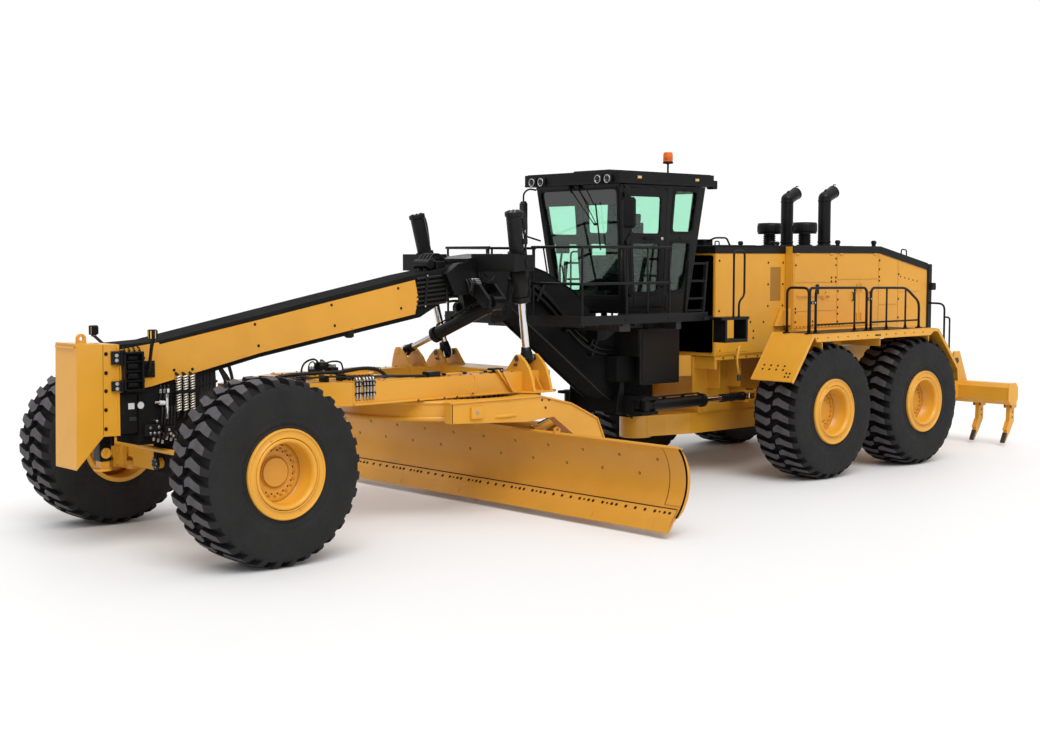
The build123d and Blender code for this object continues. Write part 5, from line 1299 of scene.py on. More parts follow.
p = Piece("cab_seals", "front_frame", [BLACK_M, BLACK, STEEL], "black_paint")
for s in (1, -1):
    put = put_rear(s)
    for hole in (REAR_UPPER, REAR_LOWER):
        p.sheet(rounded(inset(hole, -14), 70), [rounded(inset(hole, 26), 60)], put, -22, 6, 0)
    put = put_side(s)
    for t in (200, 850, 1500):
        hl, hd = V((-6489.24, 733.23, 2498.85)), V((0.140021, 0.064365, 0.988054))
        a, b = hl + hd * (t - 45), hl + hd * (t - 2)
        p.cyl((a.x, s * a.y, a.z), (b.x, s * b.y, b.z), 14, 14, 2, 1)
p.sheet(rounded(inset(SCREEN, -16), 80), [rounded(inset(SCREEN, 22), 70)], put_front, -24, 7, 0)
p.sheet(rounded(inset(BACK, -16), 60), [rounded(inset(BACK, 22), 50)], put_back, -24, 7, 0)
# rain gutter under the roof and the sill below the screen
p.sheet([(-815, 4156), (815, 4156), (812, 4118), (-812, 4118)], [], put_front, 0, 14, 1)
p.sheet(rounded([(-640, 2600), (640, 2600), (630, 2420), (-630, 2420)], 20), [], put_front, 0, 8, 1)
for k in range(6):
    y = -550 + 220 * k
    p.bolt(put_front(y, 2440, 8), FR, 8, 6, 1)
# lower side panels under the rear panes
for s in (1, -1):
    p.sheet(rounded([(-7600, 2650), (-7180, 2650), (-7180, 2430), (-7600, 2430)], 20), [], put_rear(s), 0, 7, 1)
    for u, v in ((-7580, 2630), (-7200, 2630), (-7580, 2450), (-7200, 2450)):
        p.bolt(put_rear(s)(u, v, 7), (0, s, 0), 8, 6, 1)
    # small round cap between the rear panes, and vents
    p.lathe([(0, 0), (34, 0), (34, 4), (28, 7), (0, 7)], put_rear(s)(-7420, 3445, 0), (0, s, 0), 24, 1, False)
p.done()

p = Piece("sunscreen_band", "front_frame", [finish_mat("tinted_band", (0.010, 0.012, 0.012), (0.016, 0.018, 0.018), (0.08, 0.14), coat=0.5, grain=20.0, grain_strength=0.01)], "black_paint")
p.sheet([(-742, 4082), (742, 4082), (722, 3875), (-722, 3875)], [], put_front, -27, -24)
p.done()

p = Piece("wipers", "front_frame", [BLACK_M, STEEL], "black_paint")
# two arms from the roof's edge that meet at the blade, as parked
p.cyl(put_front(-110, 4130, 4), put_front(-110, 4130, 60), 26, 16, 4)
p.cyl(put_front(60, 4130, 4), put_front(60, 4130, 60), 26, 16, 4)
p.tube([put_front(-110, 4130, 46), put_front(300, 3620, 40)], [10, 7], 8)
p.tube([put_front(60, 4130, 46), put_front(330, 3640, 40)], [9, 6], 8)
p.obox(put_front(318, 3625, 36), (60, 34, 20), [Vector((0, 1, 0)), Vector((0.14, 0, 0.99)), FR], 3)
p.obox(put_front(350, 3590, 22), (16, 640, 22), [Vector((0, 1, 0.06)), Vector((0.14, -0.02, 0.99)), FR], 4)
p.tube([put_front(-110, 4130, 60), put_front(-60, 4060, 60)], 8, 8)
# lower wiper
p.cyl(put_front(-250, 2585, 4), put_front(-250, 2585, 40), 22, 14, 4)
p.tube([put_front(-250, 2585, 36), put_front(-420, 2830, 30)], [9, 6], 8)
p.obox(put_front(-425, 2850, 20), (16, 420, 20), [Vector((0, 1, 0.1)), Vector((0.14, -0.06, 0.99)), FR], 4)
p.done()

# ---------------------------------------------------------------- roof, lamps and mirrors
p = Piece("roof_trim", "front_frame", [BLACK, BLACK_M, LENS, AMBER, STEEL, GREY], "black_paint")
# roof edge with a drip lip, top skin and its ribs
p.box(-7992, -6070, -936, 936, 4156, 4176, 6)
p.box(-7960, -6100, -900, 900, 4318, 4328, 5)
for k in range(5):
    p.box(-7900, -6700, -720 + 350 * k, -680 + 350 * k, 4326, 4338, 4)
p.box(-7050, -6450, -340, 340, 4326, 4372, 14)
for k in range(8):
    p.box(-7010 + 64 * k, -6980 + 64 * k, -300, 300, 4370, 4378, 3, 1)
# front work lamps in two pairs
for s in (1, -1):
    for y in (560, 740):
        c = V((-6060, s * y, 4215))
        p.box(-6078, -6040, s * y - 62, s * y + 62, 4155, 4275, 10, 1)
        p.lathe([(0, 44), (56, 44), (60, 40), (60, 0), (0, 0)], (-6074, s * y, 4215), (1, 0, 0), 32, 0, False)
        p.lathe([(44, 44), (58, 46), (58, 52), (46, 54), (42, 47)], (-6074, s * y, 4215), (1, 0, 0), 32, 4, True, True)
        p.lathe([(0, 50), (20, 50), (44, 46), (44, 42), (0, 42)], (-6074, s * y, 4215), (1, 0, 0), 32, 2, True)
    # amber side lamps and the rear work lamp
    for x in (-6450, -7620):
        p.box(x - 40, x + 40, s * 931, s * 944, 4222, 4262, 4, 4)
        p.box(x - 32, x + 32, s * 942, s * 950, 4229, 4255, 3, 3)
    p.box(-8080, -7975, s * 800, s * 930, 4130, 4250, 12, 1)
    p.box(-8086, -8076, s * 815, s * 915, 4145, 4235, 4, 2)
    p.box(-8000, -7960, s * 840, s * 890, 4240, 4262, 4, 0)
    for x in (-7700, -7300, -6900, -6500):
        p.bolt((x, s * 936, 4200), (0, s, 0), 7, 5, 0, False)
p.done()

p = Piece("mirrors", "front_frame", [BLACK_M, MIRROR, BLACK], "black_paint")
for s in (1, -1):
    # arm from the roof's corner, mirror ahead of the pillar
    c = V((-6120 if s < 0 else -6180, s * 1010, 3760))
    p.tube(bent([(-6230, s * 860, 4120), (-6150, s * 930, 4140), (c.x, s * 1010, 4080), (c.x, s * 1010, 3480), (-6290, s * 830, 3400)], 60), 13, 10)
    p.obox(c, (64, 176, 372), [Vector((0.94, s * 0.34, 0)), Vector((-s * 0.34, 0.94, 0)), Vector((0, 0, 1))], 30, 0)
    p.obox(c, (40, 150, 410), [Vector((0.94, s * 0.34, 0)), Vector((-s * 0.34, 0.94, 0)), Vector((0, 0, 1))], 18, 0)
    p.obox(c - Vector((0.94, s * 0.34, 0)) * 32, (5, 132, 330), [Vector((0.94, s * 0.34, 0)), Vector((-s * 0.34, 0.94, 0)), Vector((0, 0, 1))], 1.5, 1)
    for z in (3620, 3900):
        p.obox((c.x, s * 1010, z), (50, 44, 36), None, 6, 2)
    # grab rail ahead of the door
    p.tube(bent([put_side(s)(-6385, 3330, 0), put_side(s)(-6350, 3320, 70), put_side(s)(-6455, 2640, 70), put_side(s)(-6480, 2650, 0)], 40), 12, 10)
p.done()

p = Piece("beacon_lamp", "front_frame", [BEACON, BLACK, STEEL], "beacon_orange", ("beacon",))
p.lathe([(0, 4320), (48, 4320), (48, 4334), (14, 4336), (14, 4478), (62, 4484), (74, 4488), (74, 4506), (66, 4512)], (-7500, 500, 0), (0, 0, 1), 32, 1, False)
p.lathe([(60, 4508), (68, 4512), (70, 4530), (66, 4534), (70, 4540), (69, 4600), (65, 4606), (68, 4612), (64, 4636), (50, 4646), (0, 4649)], (-7500, 500, 0), (0, 0, 1), 40, 0, True)
p.lathe([(0, 4512), (30, 4512), (30, 4600), (0, 4604)], (-7500, 500, 0), (0, 0, 1), 20, 2, False)
p.done()

# ---------------------------------------------------------------- inside the cab
def cushion(name, c, size, crown, channels, tilt=0.0, mat=FABRIC, n=16):
    """crowned pad: centre, full sizes, how much each face swells, sewn channels across"""
    verts, faces = [], []
    sx, sy, sz = [v / 2 for v in size]
    rot = Matrix.Rotation(tilt, 3, "Y")
    idx = {}

    def at(a, b, e):
        # superellipse outline with a swollen face
        edge = max(0.0, 1 - max(abs(a), abs(b)) ** 4)
        pull = 1 - 0.05 * (1 - abs(abs(a) - abs(b)))
        groove = 0.0
        for g in channels:
            groove += math.exp(-((a - g) / 0.035) ** 2)
        h = sz + crown * (edge ** 0.6) - 9.0 * groove * edge
        return V((a * sx * pull, b * sy * pull, e * h))
    for e in (1, -1):
        for i in range(n + 1):
            for j in range(n + 1):
                a, b = -1 + 2 * i / n, -1 + 2 * j / n
                idx[(i, j, e)] = len(verts)
                q = at(a, b, e)
                verts.append(V(c) + rot @ q)
    for e in (1, -1):
        for i in range(n):
            for j in range(n):
                f = (idx[(i, j, e)], idx[(i + 1, j, e)], idx[(i + 1, j + 1, e)], idx[(i, j + 1, e)])
                faces.append(f if e > 0 else f[::-1])
    rim_ = [(i, 0) for i in range(n)] + [(n, j) for j in range(n)] + [(n - i, n) for i in range(n)] + [(0, n - j) for j in range(n)]
    for k in range(len(rim_)):
        a, b = rim_[k], rim_[(k + 1) % len(rim_)]
        faces.append((idx[(*a, 1)], idx[(*b, 1)], idx[(*b, -1)], idx[(*a, -1)]))
    p = Piece(name, "front_frame", [mat], "seat_fabric")
    p.add(verts, faces, 0, True)
    o = p.done()
    mod = o.modifiers.new("soft", "SUBSURF")
    mod.levels = mod.render_levels = 1
    return o


cushion("seat_cushion", (-7000, 0, 2985), (470, 470, 70), 26, (-0.45, 0.1, 0.55))
cushion("seat_back", (-7262, 0, 3330), (620, 450, 60), 24, (-0.6, -0.2, 0.2, 0.6), tilt=-math.pi / 2 - 0.10)
cushion("seat_headrest", (-7312, 0, 3715), (150, 270, 60), 20, (), tilt=-math.pi / 2 - 0.10)
for s in (1, -1):
    cushion("armrest_%s" % ("left" if s > 0 else "right"), (-6990, s * 345, 3175), (380, 90, 30), 10, ())

p = Piece("operator_station_detail", "front_frame", [GREY, BLACK_M, STEEL, GLASS, BLACK], "steel_dark", ("operator_station",))
p.box(-7240, -6770, -230, 230, 2880, 2935, 16, 1)
p.box(-7330, -7290, -200, 200, 2960, 3660, 14, 1)
p.box(-7150, -6850, -170, 170, 2462, 2520, 8, 1)
for k in range(7):
    z = 2530 + 50 * k
    p.box(-7140 + 4 * k, -6860 - 4 * k, -160, 160, z - 20, z + 20, 10, 1)
for y in (-70, 70):
    p.cyl((-7315, y, 3620), (-7318, y, 3690), 9, 10, 2, 2)
for s in (1, -1):
    p.box(-7190, -6790, s * 300, s * 392, 3080, 3150, 14, 0)
    p.box(-7120, -7020, s * 262, s * 380, 2930, 3085, 10, 0)
    p.box(-7190, -6960, s * 395, s * 560, 2462, 3020, 16, 0)
    # joystick
    p.cyl((-6830, s * 345, 3148), (-6830, s * 345, 3178), 34, 18, 6, 1)
    p.tube([(-6830, s * 345, 3170), (-6822, s * 345, 3215), (-6820, s * 345, 3290)], [12, 17, 21], 12, 1)
    p.lathe([(0, 0), (22, 4), (27, 18), (20, 36), (0, 42)], (-6820, s * 345, 3282), (0.1, 0, 1), 16, 1, True)
# floor, front console, display and rear wall trim
p.box(-7600, -6470, -640, 640, 2462, 2474, 3, 1)
p.box(-6560, -6470, -300, 300, 2474, 2700, 14, 0)
p.box(-6540, -6490, -120, 120, 2690, 3060, 10, 1)
p.obox((-6530, 0, 3110), (50, 200, 110), [Vector((0.95, 0, -0.3)), Vector((0, 1, 0)), Vector((0.3, 0, 0.95))], 10, 1)
p.obox((-6470, -560, 3300), (40, 200, 150), [Vector((0.9, 0.4, 0)), Vector((-0.4, 0.9, 0)), Vector((0, 0, 1))], 8, 1)
p.tube([(-6460, -600, 2700), (-6450, -600, 3000), (-6462, -570, 3250)], 16, 10, 1)
p.box(-7700, -7560, -660, 660, 2474, 3280, 20, 0)
p.box(-7560, -7480, -600, 600, 2474, 2900, 16, 1)
for k in range(3):
    p.box(-6640, -6560, -200 + 140 * k, -110 + 140 * k, 2474, 2560, 8, 4)
# headliner
p.box(-7780, -6260, -760, 760, 4100, 4140, 14, 0)
p.done()

# ---------------------------------------------------------------- below the cab and along the gooseneck
p = Piece("cab_underside", "front_frame", [BLACK, BLACK_M, HOSE, STEEL], "black_paint")
# panel of the box below the cab
p.box(-7540, -6725, 640, 712, 1405, 2185, 10)
p.box(-7500, -6765, 710, 720, 1445, 2145, 4)
for x in (-7480, -6785):
    for z in (1465, 1795, 2125):
        p.bolt((x, 720, z), (0, 1, 0), 10, 8, 0)
p.box(-6760, -6420, 560, 740, 2200, 2400, 10, 1)
p.box(-7600, -6460, 640, 760, 2350, 2402, 6, 0)
for x in (-6650, -7050, -7450):
    p.cyl((x, 700, 2200), (x, 700, 2352), 48, 20, 6, 1)
p.box(-6130, -5960, 420, 640, 2060, 2312, 8, 1)
p.prism([(-6040, 2310), (-6640, 2310), (-6640, 2240), (-6260, 2040), (-6120, 2040)], "xz", 470, 490, 0)
p.obox((-6170, 330, 2120), (40, 120, 330), [Vector((0.9, 0, 0.44)), Vector((0, 1, 0)), Vector((-0.44, 0, 0.9))], 5, 0)
p.mirror()
p.done()

p = Piece("gooseneck_hoses", "front_frame", [HOSE, BLACK, STEEL], "black_paint")
for k in range(8):
    y = 268 + 17 * (k % 4)
    o = 26 * k
    p.tube(smooth([(-4760, 262, 2940 - o * 0.6), (-5000, y, 2890 - o * 0.8), (-5350, y, 2700 - o), (-5700, y, 2400 - o), (-6020, y + 10, 2130 - o * 0.9),
                   (-6330, y + 18, 1960 - o * 0.6), (-6650, y + 10, 1900 - o * 0.4), (-6900, y, 1885 - o * 0.35)], 6), 14, 8, 0)
for (x, z), a in (((-5200, 2690), 0.55), ((-5750, 2260), 0.75), ((-6220, 1935), 0.45)):
    u = Vector((math.cos(a), 0, math.sin(a)))
    n = Vector((-math.sin(a), 0, math.cos(a)))
    p.obox((x, 336, z), (40, 12, 250), [u, Vector((0, 1, 0)), n], 3, 1)
    for k in (-1, 1):
        p.obox(V((x, 300, z)) + n * (k * 120), (40, 80, 12), [u, Vector((0, 1, 0)), n], 3, 1)
p.mirror()
# edge flanges of the gooseneck
for s in (1, -1):
    strip(p, [(-4560, 2676), (-4903, 2406), (-5635, 1878), (-6407, 1316), (-7060, 891)], s * 236, s * 262, 20, 1)
    strip(p, [(-4551, 3159), (-4903, 3107), (-5354, 2973), (-5915, 2698), (-6190, 2478)], s * 236, s * 262, 18, 1)
p.done()

# ---------------------------------------------------------------- platforms and rails
p = Piece("platform_trim", "front_frame", [BLACK, PLATE, STEEL, YELLOW], "black_paint")
p.box(-6030, -4940, 1335, 1352, 2300, 2420, 3)
p.box(-4952, -4938, 362, 1350, 2300, 2420, 3)
p.box(-7400, -6030, 1335, 1352, 2300, 2420, 3)
for x in (-6625, -5800, -4985):
    p.box(x - 45, x + 45, 1290, 1368, 2346, 2362, 4)
    for dx in (-30, 30):
        p.bolt((x + dx, 1310, 2362), (0, 0, 1), 8, 6, 2)
for k in range(5):
    p.box(-5990 + 240 * k, -5960 + 240 * k, 380, 1330, 2275, 2312, 3)
# inner rail run and its braces
p.tube([(-5700, 1330, 2830), (-5700, 1330, 3300)], 12, 8)
p.tube([(-6200, 1330, 2355), (-6200, 1330, 3290)], 14, 8)
p.mirror()
p.done()

# steps hanging at the cab's back corner: treads with open slots
p = Piece("step_treads", "front_frame", [BLACK, PLATE, STEEL], "black_paint")
p.box(-7960, -7480, 1380, 1592, 2028, 2040, 3, 1)
for k in range(7):
    p.box(-7930 + 66 * k, -7900 + 66 * k, 1385, 1588, 2038, 2046, 2, 0)
for x in (-7500, -7940):
    p.tube([(x, 1392, 2040), (x, 1392, 2330)], 12, 8, 0)
    p.tube([(x, 1578, 2040), (x, 1578, 2330)], 12, 8, 0)
p.tube(bent([(-7640, 1600, 2345), (-7640, 1600, 3256), (-7868, 1600, 3256), (-7868, 1600, 2640), (-7760, 1596, 2560), (-7760, 1596, 2345)], 70), 15, 10, 0)
p.mirror()
p.done()

# ---------------------------------------------------------------- articulation joint
for s, tag in ((1, "left"), (-1, "right")):
    p = Piece("articulation_barrel_trim_" + tag, "articulation_barrel_" + tag, [BLACK, HOSE, STEEL], "black_paint")
    A, B = Vector((-6790, s * 750, 1120)), Vector((-9120, s * 700, 1120))
    dd = (B - A).normalized()
    p.lathe([(81, 1180), (98, 1186), (98, 1246), (88, 1252), (50, 1253)], A, dd, 36, 0, False)
    p.lathe([(81, 90), (92, 94), (92, 150), (81, 154)], A, dd, 36, 0, False)
    p.tube(bent([A + dd * 160 + Vector((0, 0, 70)), A + dd * 170 + Vector((0, 0, 108)), A + dd * 1150 + Vector((0, 0, 108)), A + dd * 1160 + Vector((0, 0, 80))], 30), 13, 8, 1)
    for t in (400, 800):
        p.obox(A + dd * t + Vector((0, 0, 92)), (40, 50, 50), [dd, Vector((0, 1, 0)), Vector((0, 0, 1))], 4, 0)
    p.done()

for s, tag in ((1, "left"), (-1, "right")):
    p = Piece("articulation_rod_guard_" + tag, "articulation_rod_" + tag, [BLACK, BLACK_M], "black_paint")
    A, B = Vector((-6790, s * 750, 1120)), Vector((-9120, s * 700, 1120))
    dd = (B - A).normalized()
    L = (B - A).length
    p.lathe([(43, 1640), (58, 1644), (58, L - 220), (66, L - 210), (66, L - 160), (43, L - 156)], A, dd, 28, 0, False)
    for k in range(3):
        t = 1700 + 170 * k
        p.lathe([(58, t), (62, t + 3), (62, t + 24), (58, t + 27)], A, dd, 28, 1, False)
    p.done()

p = Piece("hitch_front", "front_frame", [BLACK, STEEL, HOSE], "black_paint")
for z in (1206, 996):
    p.lathe([(0, 0), (80, 0), (80, 12), (0, 12)], (-6790, 750, z - 6 + (36 if z > 1100 else 0)), (0, 0, 1), 28, 0, False)
p.prism([(-6640, 1240), (-6640, 1440), (-6560, 1440), (-6500, 1000), (-6640, 1000)], "xz", 470, 490, 0)
p.mirror()
for k in range(6):
    y = -150 + 60 * k
    p.tube(smooth([(-6980, y, 1800), (-7080, y, 1760), (-7150, y * 1.1, 1780), (-7200, y * 1.1, 1830)], 5), 15, 8, 2)
p.done()

p = Piece("hitch_rear", "rear_frame", [YELLOW, DARKSTEEL, HOSE, YELLOW_MATT_SHADE], "yellow_paint")
p.lathe([(92, 1752), (232, 1752), (232, 1768), (222, 1776), (92, 1776)], (-7400, 0, 0), (0, 0, 1), 48, 0, False)
for i in range(12):
    w = 2 * math.pi * i / 12
    p.bolt((-7400 + 180 * math.cos(w), 180 * math.sin(w), 1774), (0, 0, 1), 12, 9, 1)
p.lathe([(0, 588), (88, 588), (88, 600), (236, 600), (236, 588), (224, 580), (0, 580)], (-7400, 0, 0), (0, 0, 1), 48, 0, False)
# yellow frame sides and brackets that show under the hood's front
for s in (1, -1):
    p.prism([(-8240, 1738), (-8100, 1738), (-8100, 1230), (-8350, 905), (-8600, 905), (-8600, 1738)], "xz", s * 448, s * 470, 0)
    p.box(-8560, -8140, s * 440, s * 860, 1700, 1740, 6, 0)
    p.box(-8180, -8130, s * 440, s * 860, 1560, 1742, 6, 0)
    p.box(-9700, -8120, s * 820, s * 872, 1690, 1752, 6, 0)
    for k in range(6):
        p.bolt((-8300 - 260 * k, s * 872, 1720), (0, s, 0), 12, 9, 1)
    for x in (-8420, -8900):
        p.prism([(x, 1700), (x - 26, 1700), (x - 26, 1400), (x, 1250)], "xz", s * 450, s * 700, 0)
    # hoses that cross to the front frame end here in their bulkhead
    p.box(-8120, -8095, s * 120, s * 420, 1500, 1700, 5, 3)
    for k in range(3):
        p.cyl((-8096, s * (170 + 90 * k), 1600), (-8060, s * (170 + 90 * k), 1600), 20, 12, 3, 1)
    p.lathe([(0, 0), (58, 0), (58, 14), (0, 14)], (-9120, s * 700, 1205), (0, 0, 1), 28, 1, False)
    # cross tube between the tandem cases
    p.lathe([(242, 470), (262, 476), (262, 520), (242, 526)], (-10412.5, 0, 973), (0, s, 0), 48, 0, False)
    p.lathe([(242, 960), (300, 966), (300, 1008), (242, 1010)], (-10412.5, 0, 973), (0, s, 0), 48, 0, False)
    for i in range(16):
        w = 2 * math.pi * i / 16
        p.bolt((-10412.5 + 275 * math.cos(w), s * 966, 973 + 275 * math.sin(w)), (0, -s, 0), 11, 9, 1)
p.done()

p = Piece("tandem_trim", "rear_frame", [YELLOW, DARKSTEEL], "yellow_paint")
for x0 in (-11300, -10300):
    p.sheet(rounded([(x0, 850), (x0 + 780, 850), (x0 + 780, 1100), (x0, 1100)], 60), [], lambda u, v, t: V((u, t, v)), 1298, 1312)
    for i in range(5):
        for z in (880, 1070):
            p.bolt((x0 + 60 + 165 * i, 1312, z), (0, 1, 0), 11, 9, 1)
p.box(-11561, -9264, 1005, 1300, 1198, 1212, 5)
p.mirror()
p.done()

# ---------------------------------------------------------------- hood
p = Piece("hood_panels", "rear_frame", [YELLOW, BLACK, RECESS_SHADE, GRILLE_Y_SHADE, STEEL, YELLOW_MATT_SHADE], "yellow_paint")


def side_panel(p, y, outline, r=14, t=8, mat=0):
    p.sheet(rounded(outline, r, 3), [], lambda u, v, w: V((u, w, v)), y, y + t, mat)


def at_side(y):
    return lambda u, v, w: V((u, w, v))


# front module: panel with a perforated grille in the darker yellow with dark hole dots (painted shade), lower skirt
p.sheet(rounded([(-9690, 3215), (-8100, 3215), (-8100, 1770), (-9690, 1770)], 12, 3),
        [rounded([(-9590, 3020), (-9340, 3020), (-9340, 2520), (-9590, 2520)], 10, 3)], at_side(0), 879, 888)
p.sheet(rounded([(-9590, 3020), (-9340, 3020), (-9340, 2520), (-9590, 2520)], 10, 3), [], at_side(0), 876, 882, 3)
for x in (-9640, -9290):
    for z in (3090, 2770, 2450):
        p.bolt((x, 888, z), (0, 1, 0), 12, 9, 2)
for x, z in ((-8888, 2225), (-9190, 2216), (-8959, 2091), (-8580, 1830), (-9620, 1830), (-8959, 1990), (-8200, 1830), (-8180, 3120), (-8180, 2400)):
    p.bolt((x, 888, z), (0, 1, 0), 12, 9, 2)
p.sheet(rounded([(-8820, 2290), (-8130, 2290), (-8130, 1800), (-8820, 1800)], 12, 3), [], at_side(0), 888, 892)
# front face of the hood
p.sheet(rounded([(-850, 3200), (850, 3200), (850, 1800), (-850, 1800)], 20, 3), [], lambda u, v, w: V((w, u, v)), -8092, -8080)
for z in (3150, 1850):
    for k in range(5):
        p.bolt((-8080, -800 + 400 * k, z), (1, 0, 0), 11, 8, 2)
# step between the two modules
p.sheet(rounded([(888, 3215), (1010, 3215), (1010, 2040), (888, 2040)], 6, 3), [], lambda u, v, w: V((w, u, v)), -9702, -9694)
# rear module: doors with gaps between them
DOORS = [[(-9735, 3222), (-10795, 3222), (-10795, 2790), (-9735, 2790)],
         [(-10808, 3222), (-11900, 3222), (-11900, 2830), (-10808, 2830)],
         [(-9735, 2778), (-10795, 2778), (-10795, 2360), (-9735, 2360)],
         [(-10808, 2818), (-11380, 2818), (-11380, 2110), (-10808, 2110)],
         [(-11392, 2818), (-11900, 2818), (-11900, 2110), (-11392, 2110)],
         [(-9735, 2348), (-10795, 2348), (-10795, 2110), (-9735, 2110)],
         [(-11914, 3222), (-12010, 3205), (-12440, 3108), (-12440, 2420), (-11914, 2420)],
         [(-11914, 2408), (-12440, 2408), (-12440, 2040), (-11914, 2040)],
         [(-12454, 3105), (-13080, 2962), (-13080, 2620), (-12454, 2620)],
         [(-12454, 2608), (-13080, 2608), (-13080, 2040), (-12454, 2040)]]
for o in DOORS:
    side_panel(p, 1019, o)
for x, zs in ((-10770, (3150, 3050, 2860, 2800)), (-10660, (2860, 2800)), (-9770, (3050, 2400, 2340, 2200)), (-11930, (3120, 2980, 2860, 2800)),
              (-10830, (2650, 2520, 2400, 2300, 2180)), (-10200, (2200, 2140)), (-12470, (2900, 2500, 2200))):
    for z in zs:
        p.bolt((x, 1027, z), (0, 1, 0), 12, 9, 2)
for k in range(5):
    p.bolt((-12520 - 120 * k, 1027, 2860 - 20 * k), (0, 1, 0), 9, 7, 2)
for k in range(14):
    p.bolt((-9800 - 90 * k, 1027, 2128), (0, 1, 0), 8, 6, 2)
# hinges, latches and handles
for x in (-9800, -10650, -10900, -11800):
    p.box(x - 40, x + 40, 1020, 1044, 3205, 3232, 6, 5)
for x in (-11330, -11440):
    for z in (2250, 2700):
        p.box(x - 14, x + 14, 1026, 1046, z - 60, z + 60, 5, 5)
p.sheet(rounded([(-10340, 2760), (-10260, 2760), (-10260, 2610), (-10340, 2610)], 20), [], at_side(0), 1026, 1036, 1)
p.tube(bent([(-10520, 1026, 2640), (-10520, 1060, 2640), (-10420, 1060, 2540), (-10420, 1026, 2540)], 16), 8, 8, 5)
p.tube(bent([(-9800, 1030, 2600), (-9800, 1052, 2590), (-10550, 1052, 2590), (-10600, 1030, 2560)], 20), 8, 8, 5)
p.tube(bent([(-11200, 1030, 2500), (-11200, 1056, 2500), (-11200, 1056, 2620), (-11200, 1030, 2620)], 16), 9, 8, 1)
p.tube(bent([(-11650, 1030, 2500), (-11650, 1056, 2500), (-11650, 1056, 2620), (-11650, 1030, 2620)], 16), 9, 8, 1)
# rib at the joint of the two sections
p.box(-9718, -9700, 1018, 1034, 2030, 3225, 4, 0)
# low bracket beside the first rail
p.box(-9700, -9560, 888, 1010, 2150, 2400, 8, 0)
p.prism([(-9560, 2400), (-9560, 2150), (-9420, 2150)], "xz", 900, 960, 0)
p.mirror()
p.done()

p = Piece("hood_top", "rear_frame", [BLACK, BLACK_M, STEEL, HOSE, GRILLE_B], "black_paint")
for s in (1, -1):
    # black band along the top edges
    p.box(-9715, -8086, s * 870, s * 892, 3225, 3336, 5)
    p.box(-9735, -11950, s * 1012, s * 1034, 3232, 3342, 5) if False else p.box(-11950, -9700, s * 1012, s * 1034, 3232, 3342, 5)
    p.sheet([(-11940, 3342), (-13300, 3072), (-13300, 2962), (-11940, 3232)], [], lambda u, v, w: V((u, w, v)), s * 1012, s * 1034)
    # small lamps, handles and lids on the top edge
    for x in (-10899, -11857):
        zt = 3335
        p.cyl((x, s * 960, zt), (x, s * 960, zt + 34), 34, 20, 6, 0)
        p.cyl((x - 34, s * 960, zt + 66), (x + 34, s * 960, zt + 66), 34, 20, 6, 1)
    p.tube(bent([(-12570, s * 1000, 3210), (-12570, s * 1000, 3300), (-12720, s * 1000, 3290), (-12720, s * 1000, 3180)], 40), 11, 8, 0)
p.box(-9715, -8086, -892, 892, 3318, 3338, 6)
p.box(-11950, -9700, -1032, 1032, 3328, 3344, 6)
p.add([(-11945, -1032, 3344), (-13305, -1032, 3074), (-13305, 1032, 3074), (-11945, 1032, 3344), (-11945, -1032, 3330), (-13305, -1032, 3060), (-13305, 1032, 3060), (-11945, 1032, 3330)],
      [(0, 1, 2, 3), (4, 5, 6, 7), (0, 1, 5, 4), (1, 2, 6, 5), (2, 3, 7, 6), (3, 0, 4, 7)], 0)
p.box(-8100, -8080, -892, 892, 3225, 3336, 5)
# hatch lids and lifting loops
for x0, x1, y0, y1 in ((-9500, -8700, -500, 500), (-10650, -9950, -250, 250), (-11850, -11520, -600, 600)):
    p.sheet(rounded([(x0, y0), (x1, y0), (x1, y1), (x0, y1)], 40), [], lambda u, v, w: V((u, v, w)), 3336, 3352)
for x in (-8300, -9560):
    for s in (1, -1):
        p.tube(bent([(x, s * 700, 3330), (x, s * 700, 3400), (x - 90, s * 700, 3400), (x - 90, s * 700, 3330)], 24), 9, 8, 0)
p.box(-8420, -8220, 200, 560, 3330, 3430, 10, 1)
p.tube(bent([(-8300, 560, 3400), (-8300, 700, 3450), (-8480, 760, 3450), (-8560, 760, 3340)], 40), 14, 8, 3)
# caps of tank and coolant
p.lathe([(0, 3340), (62, 3340), (62, 3372), (50, 3384), (0, 3386)], (-9000, -650, 0), (0, 0, 1), 28, 1, False)
p.lathe([(0, 3340), (48, 3340), (48, 3366), (0, 3372)], (-11700, 300, 0), (0, 0, 1), 24, 1, False)
# sloping top grille
for k in range(9):
    x = -12100 - 120 * k
    z = 3344 - (abs(x) - 11950) * 0.2
    p.obox((x, 0, z + 4), (60, 1500, 14), [Vector((0.98, 0, 0.2)), Vector((0, 1, 0)), Vector((-0.2, 0, 0.98))], 4, 1)
p.done()

p = Piece("radiator_end", "rear_frame", [BLACK, GRILLE_B, LENS, AMBER, STEEL, BLACK_M], "black_paint")
